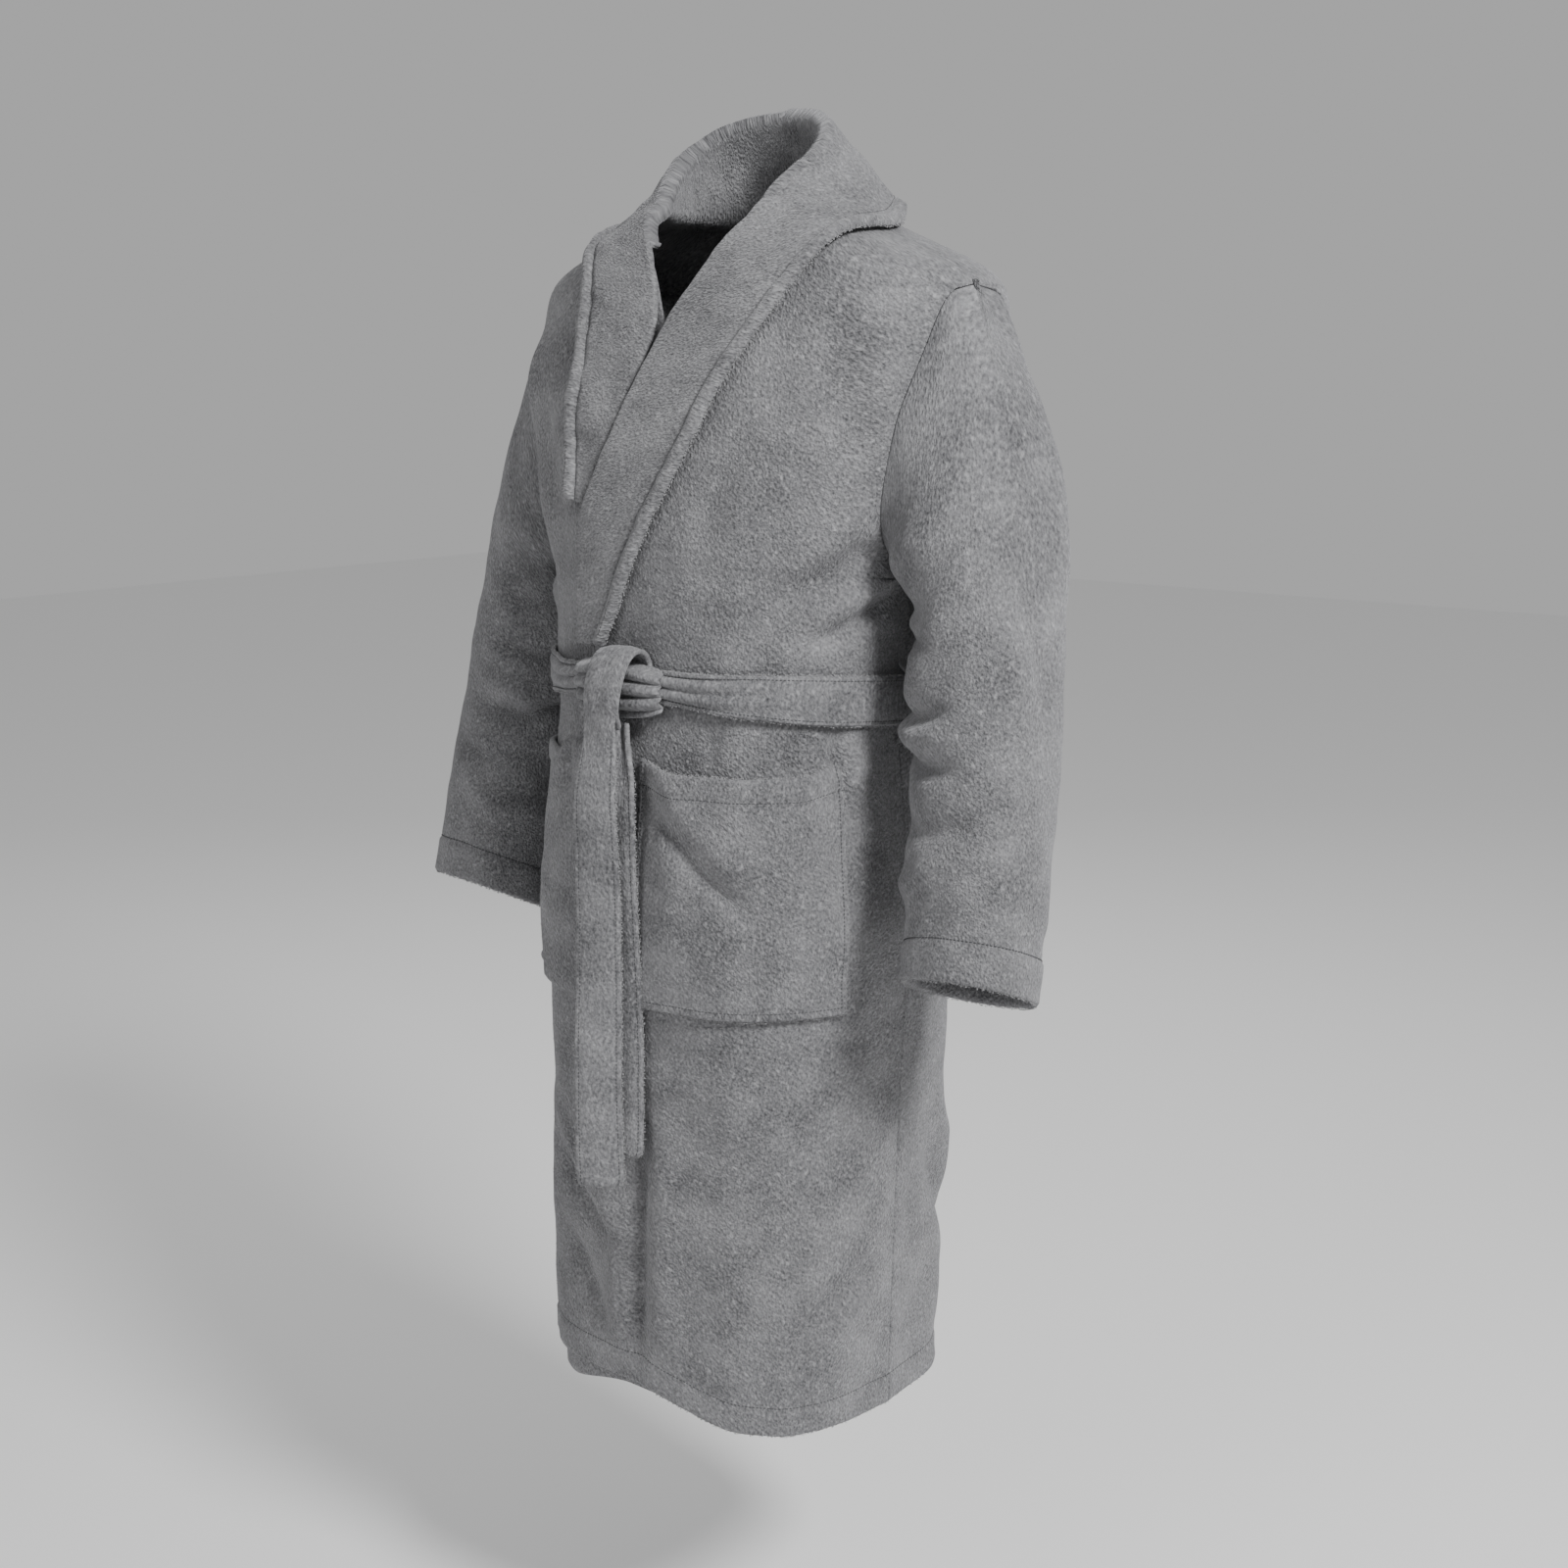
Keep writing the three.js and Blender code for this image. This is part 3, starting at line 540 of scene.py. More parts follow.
def armholeRing(share):
    middle, reach = (underarmHeight + shoulderTip[1]) / 2, (shoulderTip[1] - underarmHeight) / 2
    h = middle + reach * np.cos(2 * np.pi * share)
    x = armholeX(h)
    y = np.where(share > .5, bodyPoint(angleAtX(x, h, True), h)[..., 1], bodyPoint(angleAtX(x, h), h)[..., 1])
    return np.stack([x, y, h], -1)


def sectionRing(section, share):
    across, along = np.cos(2 * np.pi * share), -np.sin(2 * np.pi * share)
    y = section["y"] + section["half"] * along
    inner, outer = section["inner"], section["outer"]
    x = mix(inner[0], outer[0], (across + 1) / 2)
    h = mix(inner[1], outer[1], (across + 1) / 2) - section["lean"] * (y - section["y"])
    return np.stack([x, y, h], -1)


def ringAxis(grid):
    return grid - grid.mean(axis=1, keepdims=True)


def sleeve(side, name, seed):
    columns, girth = sleeveCut["columns"], sleeveCut["girth"]
    turn = np.arange(columns) / columns
    share = (turn + .5) % 1
    start = armholeRing(share) - np.array([.0012, 0, 0])
    fromTop = np.minimum(share, 1 - share)
    start[:, 2] -= .0045 * np.exp(-(fromTop / .045) ** 2)
    rings = [start] + [sectionRing(s, share) for s in sleeveSections]
    grid = smoothPath(rings, shares(int(sleeveCut["length"] / gridStep), sleeveCut["length"]), .026)
    down = lengthDown(grid).mean(1)
    total = down[-1]
    slant = ringAxis(grid)[..., :2] @ np.array([.64, -.77]) / .06
    grid[..., 2] += .010 * slant * ease(total - .20, total, down)[:, None]
    v = down[:, None] + 0 * share[None, :]
    s = share[None, :] + 0 * v
    bumps = np.zeros(v.shape)
    for path, depth, width in foldsOnSleeve:
        draw = np.random.default_rng(seed + int(1000 * abs(depth) + 100 * path[0][1]))
        jitter = draw.uniform(-.012, .012, 2)
        for wrap in (-1, 0, 1):
            line = [((q + wrap) * girth + jitter[0], d + jitter[1]) for q, d in path]
            bumps += sleeveCut["foldStrength"] * crease(s * girth, v, line, depth, width)
    ring = np.stack([np.cos(2 * np.pi * s), np.sin(2 * np.pi * s)], -1) * sleeveCut["patternRadius"]
    bumps += sleeveCut["wave"] * lumps(ring[..., 0] + v * .5 + 3, ring[..., 1] + v * .8 + 3, .060, seed)
    bumps += sleeveCut["ripple"] * lumps(ring[..., 0] + v + 3, ring[..., 1] + v * .7 + 3, .026, seed + 1)
    bumps *= ease(.004, .05, v) * (1 - .55 * ease(total - .07, total, v))
    fromEnd = total - v
    turned = 1 - ease(sleeveCut["hemDepth"] - .002, sleeveCut["hemDepth"] + .0015, fromEnd)
    groove = np.exp(-((fromEnd - sleeveCut["hemDepth"]) / .0017) ** 2)
    normals = outerNormals(grid, ringAxis, girth)
    grid = grid + normals * (bumps - clothThickness / 2 + .0004 * turned)[..., None]
    half = .0021 + .0012 * turned - .0010 * groove
    grid = grid * np.array([side, 1, 1])
    uv = np.stack([turn[None, :] * girth + 6 + seed + 0 * v, v], -1)
    obj = clothMesh(name, grid, uv, half, (.0018, .0035), ringAxis, girth)
    row = np.argmin(abs(total - down - sleeveCut["hemDepth"]))
    away = ringAxis(grid)[row]
    face = grid[row] + away / np.linalg.norm(away, axis=-1, keepdims=True) * .0019
    body = f"{'left' if side > 0 else 'right'}_arm_cloth"
    stitchRuns.append((body, np.concatenate([face, face[:1]])))
    edgeRuns.append((body, np.concatenate([grid[-1], grid[-1][:1]])))
    return obj


# The collar round the back of the neck, from its centre: (x, y, height) of its seam, its roll and its outer edge
collarBack = [
    {"seam": (0, .105, 1.094), "roll": (0, .052, 1.180), "edge": (0, .124, 1.098)},
    {"seam": (.045, .099, 1.094), "roll": (.038, .048, 1.178), "edge": (.062, .118, 1.096)},
    {"seam": (.076, .076, 1.094), "roll": (.064, .030, 1.165), "edge": (.104, .090, 1.084)},
    {"seam": (.091, .030, 1.094), "roll": (.076, .004, 1.142), "edge": (.134, .038, 1.070)},
    {"seam": (.086, -.012, 1.090), "roll": (.066, -.030, 1.112), "edge": (.141, -.020, 1.066)},
]


# Push points out to the body surface where they would sink in
def clearOfBody(points, lift, more=.0015):
    x, y, h = points[..., 0], points[..., 1], points[..., 2]
    out = lift(x, h) + more
    middle = look("middle", h)
    size = ((np.abs(x) / (look("halfWidth", h) + out)) ** bodyRoundness
            + (np.abs(y - middle) / (reachAt(h, y > middle) + out)) ** bodyRoundness) ** (1 / bodyRoundness)
    push = np.where(size < 1, 1 / np.maximum(size, .5), 1)
    push = 1 + (push - 1) * (1 - ease(neckHeight - .010, neckHeight + .004, h))
    return np.stack([x * push, middle + (y - middle) * push, h], -1)


collarCut = {"width": .17, "half": .0034, "rim": .0024, "rimAt": .006, "groove": .0016, "grooveAt": .0135,
             "wave": .0016, "ripple": .0011, "gather": .0030}


def collar(side, name, length, roll, edge, lift, seed):
    endHeight = roll[0][0]
    stations = [[(side * p[0], p[1], p[2]) for p in (s["seam"], s["roll"], s["edge"])] for s in collarBack]
    for h in np.arange(1.062, endHeight - .001, -.009).tolist() + [endHeight]:
        rollX = np.interp(h, *zip(*roll))
        edgeX = np.interp(h, *zip(*edge))
        row = []
        for x in (rollX - .004, rollX, edgeX):
            row.append(tuple(bodyPoint(angleAtX(x * side, h), h, lift(x * side, h)).tolist()))
        stations.append(row)
    stations = smoothPath(np.array(stations), shares(int(length / gridStep), length, .0025), .014)
    stations[0, :, 0] = side * .0002
    seam, rollLine, edgeLine = stations[:, 0], stations[:, 1], stations[:, 2]
    atNeck = ease(1.062, 1.088, seam[:, 2:])
    seam = seam - np.array([0, 0, .008]) * atNeck
    crown = rollLine * 1.5 - seam * .5
    profile = []
    for t in np.linspace(0, 1, 12)[:-1]:
        profile.append(mix(seam, rollLine, t))
    for t in np.linspace(0, 1, 28):
        profile.append(clearOfBody(mix(mix(rollLine, crown, t * .25), edgeLine, t), lift))
    grid = smoothPath(np.array(profile), shares(34, collarCut["width"], .006), .0045).transpose(1, 0, 2)
    grid = clearOfBody(grid, lift)
    fromEdge = lengthAcross(grid)
    fromEdge = fromEdge[:, -1:] - fromEdge
    down = lengthDown(grid).mean(1)[:, None] + 0 * fromEdge
    rolled = np.exp(-((fromEdge - collarCut["rimAt"]) / .0055) ** 2)
    groove = np.exp(-((fromEdge - collarCut["grooveAt"]) / .0020) ** 2)
    half = collarCut["half"] + collarCut["rim"] * rolled - collarCut["groove"] * groove
    waves = collarCut["wave"] * lumps(down + 3, fromEdge + 3, .035, seed)
    waves += collarCut["ripple"] * lumps(down * 1.7 + 3, fromEdge + 9, .02, seed + 1)
    gathered = np.abs(lumps(down + 5, fromEdge * .3 + 3, .06, seed + 2)) * (1 - ease(0, .05, fromEdge))
    waves = (waves + collarCut["gather"] * gathered) * ease(0, .02, down)
    normals = gridNormals(grid)
    nearEdge = -6  # the column that shows which side is outside, since the cloth turns over
    if np.sum(normals[:, nearEdge] * (grid[:, nearEdge] - np.array([0, .02, 1.0]))) < 0:
        normals = -normals
    grid = grid + normals * (.0013 + half + np.maximum(waves, -.0006))[..., None]
    grid[0, :, 0] = side * .0001
    uv = np.stack([down + 9 + seed, fromEdge], -1)
    obj = clothMesh(name, grid, uv, half, (.0022, .0050, .0050, .0060), lambda g: normals)
    face = grid + normals * (half - .0002)[..., None]
    column = np.argmin(abs(fromEdge[len(fromEdge) // 2] - collarCut["grooveAt"]))
    stitchRuns.append(("robe", face[4:-6, column]))
    edgeRuns.append(("robe", grid[3:-3, -1]))
    return obj


# Half thickness of a belt, with a rim and a groove for its stitches along both edges
def beltHalf(edge):
    rim = .0006 * np.exp(-((edge - .0020) / .0014) ** 2)
    return belt["half"] + rim - .0007 * np.exp(-((edge - .0045) / .0010) ** 2)


def beltBand():
    columns = shares(400, belt["length"], .004)
    rows = shares(20, belt["width"], .0018)
    side = knot["halfWidth"] - .004
    start = angleAtX(knot["x"] + side, belt["frontHeight"])
    end = 2 * np.pi + angleAtX(knot["x"] - side, belt["frontHeight"])
    angle = mix(start, end, columns)[None, :] + 0 * rows[:, None]
    r = rows[:, None] + 0 * angle
    fromKnot = np.minimum(angle - start, end - angle)
    near = 1 - ease(0, math.radians(58), fromKnot)
    width = mix(belt["width"], belt["widthAtKnot"], near)
    u = angle * clothPerRadian + 3
    sag = .0022 * lumps(u, 0 * angle + 5, .12, 31)
    h = beltHeight(angle) + width * (r - .5) + sag
    x = bodyPoint(angle, h)[..., 0]
    onOuterFront = np.where(np.cos(angle) > 0, ease(-.12, -.08, x), 0)
    lift = onOuterFront * overlapLift(x, h)
    pleats = near ** 1.5 * .0030 * np.cos(2 * np.pi * (r * 2.6 + .25 * np.sin(fromKnot * 5)))
    behind = ease(.2, .7, -np.cos(angle))
    foldLine = behind * (-.0030 * np.exp(-((r - .74) / .035) ** 2) + .0018 * np.exp(-((r - .84) / .07) ** 2))
    soft = .0012 * lumps(u, h + 3, .03, 33) + .0016 * lumps(u, h * .4 + 3, .07, 34)
    out = lift + belt["clearance"] + belt["thickness"] / 2 + pleats * .8 + foldLine + np.maximum(soft, -.0008)
    out = out + .0016 * np.sin(np.pi * r)
    grid = bodyPoint(angle, h, out)
    half = beltHalf(np.minimum(r, 1 - r) * width)
    uv = np.stack([lengthAcross(grid) + 20, r * belt["width"]], -1)
    obj = clothMesh("belt_band_cloth", grid, uv, half, (.0018, .0018, .004, .004), fromAxis)
    face = outerFace(grid, half, fromAxis)
    for row, stitchShare in ((0, .105), (-1, .895)):
        stitchRuns.append(("robe", face[np.argmin(abs(rows - stitchShare))]))
        edgeRuns.append(("robe", grid[row, 3:-3]))
    return obj


# Grid of a band of cloth along a path, cupped across it, with its free end's corners rounded
def strip(path, across, width, cup, uvAt, rowCount, colCount=18, spread=.012):
    rowShares = shares(rowCount, sum(np.linalg.norm(np.diff(np.array(path), axis=0), axis=1)), .003)
    middle = smoothPath(path, rowShares, spread)
    direction = smoothPath(across, rowShares, spread)
    direction = direction / np.linalg.norm(direction, axis=-1, keepdims=True)
    w = np.interp(rowShares, np.linspace(0, 1, len(width)), width)
    cols = shares(colCount, .04, .0018)
    t = cols[None, :, None] - .5
    tangent = np.gradient(middle, axis=0)
    tangent /= np.linalg.norm(tangent, axis=-1, keepdims=True)
    out = np.cross(tangent, direction)
    grid = middle[:, None] + direction[:, None] * t * w[:, None, None]
    grid = grid + out[:, None] * (cup * (1 - (2 * t) ** 2))
    along = lengthDown(grid)
    fromEnd = along[-1:] - along
    half = beltHalf(np.minimum(np.minimum(cols, 1 - cols)[None, :] * w[:, None], fromEnd + .0001))
    corner = np.maximum(0, .009 - fromEnd) / .009
    squeeze = 1 - .16 * corner ** 2.2
    grid = middle[:, None] + (grid - middle[:, None]) * squeeze[..., None]
    uv = np.stack([cols[None, :] * belt["width"] + uvAt + 0 * along, along], -1)
    return grid, half, uv, out, cols


# Hanging belt ends: where each starts under the knot and where it ends, and the way its lower part faces
tails = {
    "belt_rear_tail_cloth": {
        "body": "rear_belt_end", "x": .006, "y": -.185, "topX": -.006, "topY": -.168, "facing": 15, "end": .262,
        "widthAtKnot": .026, "pleat": .0024, "start": [], "seed": 3},
    "belt_front_tail_cloth": {
        "body": "front_belt_end", "x": -.003, "y": -.203, "topX": -.010, "topY": -.185, "facing": 35, "end": .235,
        "widthAtKnot": .035, "pleat": 0, "seed": 5,
        "start": [(-.0055, -.1880, .669), (-.0078, -.1898, .661), (-.010, -.1905, .652)]}}
tuckedRows = 13  # rows at a tail's top that the knot covers, without stitches and pile


def tail(name):
    place = tails[name]
    body, seed = place["body"], place["seed"]
    top = knot["height"] - knot["halfHeight"] - .0003
    heights = np.linspace(top, place["end"], 40)
    atKnot = ease(.590, top, heights)
    turn = math.radians(place["facing"]) * (1 - atKnot)
    sway = .0022 * np.sin((top - heights) * 17 + seed) * (1 - atKnot)
    path = np.stack([mix(place["x"], place["topX"], atKnot),
                     mix(place["y"], place["topY"], atKnot) + sway, heights], -1)
    if place["start"]:
        before = len(place["start"]) - 1
        path = np.concatenate([place["start"], path[1:]])
        turn, atKnot = np.concatenate([[0] * before, turn]), np.concatenate([[1] * before, atKnot])
    across = np.stack([np.cos(turn), np.sin(turn), 0 * turn], -1)
    width = mix(belt["width"], place["widthAtKnot"], atKnot)
    grid, half, uv, out, cols = strip(path, across, width, .0030, 30 + seed, 110)
    along = lengthDown(grid)
    r = np.linspace(0, 1, grid.shape[1])[None, :]
    pleats = place["pleat"] * (1 - ease(0, .12, along)) * np.cos(2 * np.pi * r * 2.2)
    grid = grid + out[:, None] * (pleats + .0012 * lumps(along + seed, r * .04, .03, seed))[..., None]
    obj = clothMesh(name, grid, uv, half, (.003, .0022, .0018, .0018), lambda g: g)
    face = outerFace(grid, half, fromAxis)
    for stitchShare in (.10, .90):
        stitchRuns.append((body, face[tuckedRows:-3, np.argmin(abs(cols - stitchShare))]))
    hanging = grid[tuckedRows:]
    edgeRuns.append((body, np.concatenate([hanging[:, 0], grid[-1][1:], hanging[::-1, -1][1:]])))
    return obj


def knotPieces():
    # Belt end brought up behind the band and over the front of the knot
    path = [(.006, -.160, .678), (.006, -.161, .704), (.005, -.168, .716), (.004, -.180, .716), (.003, -.189, .706),
            (.001, -.1935, .690), (-.003, -.1930, .674), (-.007, -.1885, .660), (-.010, -.1790, .648)]
    across = [(1, .02, 0)] * 4 + [(1, .06, .05)] * 3 + [(1, .04, .02)] * 2
    width = [.034, .040, .042, .042, .041, .039, .036, .034]
    grid, half, uv, out, cols = strip(path, across, width, .0034, 40, 46, 20, .006)
    r = np.linspace(0, 1, grid.shape[1])[None, :]
    late = ease(.02, .09, lengthDown(grid))
    grid = grid + out[:, None] * (-.0010 * late * np.cos(2 * np.pi * r * 2))[..., None]
    wrap = clothMesh("knot_wrap_cloth", grid, uv, half, (.002, .002, .0018, .0018), fromAxis)
    # Pleated turn of the belt round the knot
    cols = shares(60, .10, .003)
    rows = shares(44, .09, .002)
    x = mix(-.056, .040, cols)[None, :] + 0 * rows[:, None]
    r = rows[:, None] + 0 * x
    bulge = np.sqrt(np.maximum(0, 1 - ((x + .012) / .056) ** 2))
    height = knot["height"] - .002 + (r - .5) * mix(.026, .050, bulge)
    pleat = np.cos(2 * np.pi * (r * 3.6 + 1.6 * (x + .01)))
    y = -.1585 - .018 * bulge * np.sqrt(np.maximum(0, 1 - (2 * r - 1) ** 2 * .92)) - .0042 * pleat * mix(.35, 1, bulge)
    y = y - .001 * lumps(x + 3, r * .05, .02, 61)
    grid = np.stack([x, y, height], -1)
    bundle = clothMesh("knot_turn_cloth", grid, np.stack([lengthAcross(grid) + 44, r * .09], -1), belt["half"],
                       (.002, .002, .003, .003), fromAxis)
    return wrap, bundle


pocket = {"fromX": .015, "toAngle": math.radians(66), "top": .620, "bottom": .400, "room": .013,
          "thickness": .0034, "clearance": .0014, "hemDepth": .022, "stitchShare": .030}


def pocketPatch(side, name, lift, room, seed):
    tall = pocket["top"] - pocket["bottom"]
    rows = shares(58, tall, .0030)
    cols = shares(62, tall, .0022)
    r = rows[:, None] + 0 * cols[None, :]
    c = cols[None, :] + 0 * r
    middle = ease(0, .25, c) * (1 - ease(.75, 1, c))
    h = mix(pocket["bottom"], pocket["top"], r) - .007 * middle * r ** 3
    start = angleAtX(pocket["fromX"], h)
    angle = mix(start, pocket["toAngle"], c) * side
    x = bodyPoint(angle, h)[..., 0]
    belly = ease(0, .26, c) * (1 - ease(.74, 1, c)) * ease(0, .30, r)
    swell = belly * mix(.45, 1, ease(.4, 1, r))
    out = lift(x, h) + pocket["clearance"] + room * swell + pocket["thickness"] / 2 + folds(angle, h, False) + .0010
    out = out + .0012 * lumps(angle * clothPerRadian + 3, h + 3, .035, seed)
    grid = bodyPoint(angle, h, out)
    across = lengthAcross(grid)
    fromSide = np.minimum(across, across[:, -1:] - across)
    fromEdge = np.minimum(fromSide, r * tall)
    fromTop = (1 - r) * tall
    rim = .0017 * np.exp(-((fromEdge - .0025) / .0022) ** 2) - .0011 * np.exp(-((fromEdge - .0072) / .0016) ** 2)
    groove = .0013 * np.exp(-((fromTop - pocket["hemDepth"]) / .0019) ** 2)
    half = .0023 + rim + .0010 * (1 - ease(.020, .023, fromTop)) - groove
    uv = np.stack([across + 50 + seed, h], -1)
    obj = clothMesh(name, grid, uv, half, (.0024, .0032, .0024, .0024), fromAxis)
    sideCol = np.argmin(abs(cols - pocket["stitchShare"]))
    farCol = np.argmin(abs(cols - 1 + pocket["stitchShare"]))
    lowRow = np.argmin(abs(rows - pocket["stitchShare"]))
    topRow = np.argmin(abs(fromTop[:, 0] - pocket["hemDepth"]))
    face = outerFace(grid, half, fromAxis)
    around = np.concatenate([face[::-1, sideCol][2:len(rows) - lowRow], face[lowRow, sideCol + 1:farCol],
                             face[lowRow:-2, farCol]])
    if side > 0:  # the other pocket is covered
        stitchRuns.append(("robe", around))
        stitchRuns.append(("robe", face[topRow, 3:-3]))
        edgeRuns.append(("robe", np.concatenate([grid[::-1, 0], grid[0][1:], grid[1:, -1], grid[-1, ::-1][1:]])))
    return obj


def narrowStrap(name, path, normals, width, thick, uvAt):
    rowShares = shares(40, sum(np.linalg.norm(np.diff(np.array(path), axis=0), axis=1)), .001)
    middle = smoothPath(path, rowShares, .003)
    across = smoothPath(normals, rowShares, .003)
    across /= np.linalg.norm(across, axis=-1, keepdims=True)
    cols = shares(7, width, .0010)
    grid = middle[:, None] + across[:, None] * ((cols - .5) * width)[None, :, None]
    along = lengthDown(grid)
    uv = np.stack([cols[None, :] * width + uvAt + 0 * along, along], -1)
    centre = grid.mean((0, 1))
    return clothMesh(name, grid, uv, thick / 2, (.001, .001, .001, .001), lambda g: g - centre)


loopCut = {"width": .009, "thickness": .0024, "stand": .0158, "halfHeight": .0298, "sewnAt": .038}


def beltLoop(side, name):
    h = belt["sideHeight"]
    rest = float(look("halfWidth", h + .031)) + .0003
    path = [(side * (rest - .0015), 0, h - loopCut["sewnAt"])]
    for i in range(13):
        turn = math.pi * (i / 12 - .5)
        path.append((side * (rest + loopCut["stand"] * math.cos(turn)), 0,
                     h + loopCut["halfHeight"] * math.sin(turn)))
    path.append((side * (rest - .0015), 0, h + loopCut["sewnAt"]))
    return narrowStrap(name, path, [(0, 1, 0)] * len(path), loopCut["width"], loopCut["thickness"], 60)


hangerCut = {"width": .010, "thickness": .0022, "halfSpan": .0329, "rise": .0249}


def hangerLoop():
    path = []
    for i in range(15):
        turn = math.pi * i / 14
        rise = math.sin(turn)
        path.append((-hangerCut["halfSpan"] * math.cos(turn), mix(.0908, .068, rise) - .005,
                     neckHeight + .004 + hangerCut["rise"] * rise))
    across = [(0, 1, 0)] * len(path)
    return narrowStrap("hanger_loop_tape", path, across, hangerCut["width"], hangerCut["thickness"], 64)


# A node with its values set and its inputs linked from the given sockets
def node(tree, kind, feeds=None, **values):
    made = tree.nodes.new(kind)
    for key, value in values.items():
        if key in made.inputs:
            made.inputs[key].default_value = value
        else:
            setattr(made, key, value)
    for key, source in (feeds or {}).items():
        tree.links.new(source, made.inputs[key])
    return made


# Terry cloth: heather tone in large patches and small flecks, with loops of pile as bump
def terry(name, cloth):
    material = bpy.data.materials.new(name)
    material.use_nodes = True
    tree = material.node_tree

    def noise(vector, size, detail, roughness):
        made = node(tree, "ShaderNodeTexNoise", {"Vector": vector}, Scale=1 / size, Detail=detail, Roughness=roughness)
        return made.outputs["Fac"]

    def reckon(operation, feeds, second):
        made = node(tree, "ShaderNodeMath", feeds, operation=operation)
        made.inputs[1].default_value = second
        return made.outputs[0]

    uv = node(tree, "ShaderNodeUVMap", uv_map="cloth").outputs["UV"]
    place = node(tree, "ShaderNodeMapping", {"Vector": uv}, Rotation=(0, 0, cloth["pileTurn"]),
                 Scale=(1, cloth["pileStretch"], 1)).outputs["Vector"]
    pile = noise(place, cloth["pileSize"], 3.0, .6)
    loops = node(tree, "ShaderNodeTexVoronoi", {"Vector": place}, Scale=1 / cloth["loopSize"]).outputs["Distance"]
    patches = noise(uv, cloth["patchSize"], 4.0, .62)
    flecks = noise(place, cloth["fleckSize"], 2.0, .5)
    pileShare = reckon("MULTIPLY", {0: pile}, 1 - cloth["patchShare"])
    depth = reckon("MULTIPLY_ADD", {0: patches, 2: pileShare}, cloth["patchShare"])
    tone = node(tree, "ShaderNodeValToRGB", {"Fac": depth})
    for stop, position, colour in zip(tone.color_ramp.elements, (.33, .67), (cloth["dark"], cloth["light"])):
        stop.position, stop.color = position, (*colour, 1)
    mask = node(tree, "ShaderNodeMapRange", {"Value": flecks}, **{"From Min": .55, "From Max": .74})
    fleckShare = reckon("MULTIPLY", {0: mask.outputs[0]}, cloth["fleckShare"])
    colour = node(tree, "ShaderNodeMix", {0: fleckShare, 6: tone.outputs["Color"]}, data_type="RGBA")
    colour.inputs[7].default_value = (*cloth["fleck"], 1)
    height = reckon("MULTIPLY_ADD", {0: loops, 2: pile}, .55)
    bump = node(tree, "ShaderNodeBump", {"Height": height}, Strength=cloth["bump"], Distance=cloth["bumpDepth"])
    shader = tree.nodes["Principled BSDF"]
    tree.links.new(colour.outputs[2], shader.inputs["Base Color"])
    tree.links.new(bump.outputs["Normal"], shader.inputs["Normal"])
    for key, value in (("Roughness", .95), ("Specular IOR Level", .15), ("Sheen Weight", cloth["sheen"]),
                       ("Sheen Roughness", .45), ("Sheen Tint", (.9, .9, .93, 1))):
        shader.inputs[key].default_value = value
    return material


def plainMaterial(name, colour, roughness, sheen=0):
    material = bpy.data.materials.new(name)
    material.use_nodes = True
    shader = material.node_tree.nodes["Principled BSDF"]
    shader.inputs["Base Color"].default_value = (*colour, 1)
    shader.inputs["Roughness"].default_value = roughness
    shader.inputs["Sheen Weight"].default_value = sheen
    return material


robeLook = {"pileSize": .0024, "pileStretch": .80, "pileTurn": .62, "loopSize": .0021, "patchSize": .055,
            "fleckSize": .0046, "patchShare": .41, "dark": (.052, .052, .056), "light": (.275, .275, .283),
            "fleck": (.45, .45, .46), "fleckShare": .38, "bump": .9, "bumpDepth": .0026, "sheen": .30}
collarLook = {**robeLook, "pileTurn": .2, "dark": (.060, .060, .064), "light": (.285, .285, .293)}
beltLook = {**robeLook, "pileTurn": 1.4, "pileSize": .0028, "fleckSize": .005, "bumpDepth": .0012}
tapeLook = {**robeLook, "pileSize": .0012, "loopSize": .0012, "bumpDepth": .0004, "dark": (.12, .12, .125),
            "light": (.21, .21, .215), "fleckShare": 0}
# Stitch thread colour: partly the thread's own grey and partly painted shade, darkened to near black so the stitch
# lines show the shade of the sunk stitches
threadLook = {"colour": (.045, .045, .048), "length": .0026, "width": .00060, "pitch": .0034}
tuftLook = {"colour": (.25, .25, .256), "length": .0021, "width": .00045, "pitch": .0007, "spread": .0013}
terryRobe, terryCollar = terry("terryRobe", robeLook), terry("terryCollar", collarLook)
terryBelt, tape = terry("terryBelt", beltLook), terry("loopTape", tapeLook)
# The thread's near-black colour paints the shade along the sunk stitch lines on top of the thread's own tone
thread = plainMaterial("sewingThreadWithPaintedShade", threadLook["colour"], .8)
tufts = plainMaterial("pileTufts", tuftLook["colour"], .95, .3)
print("materials made")


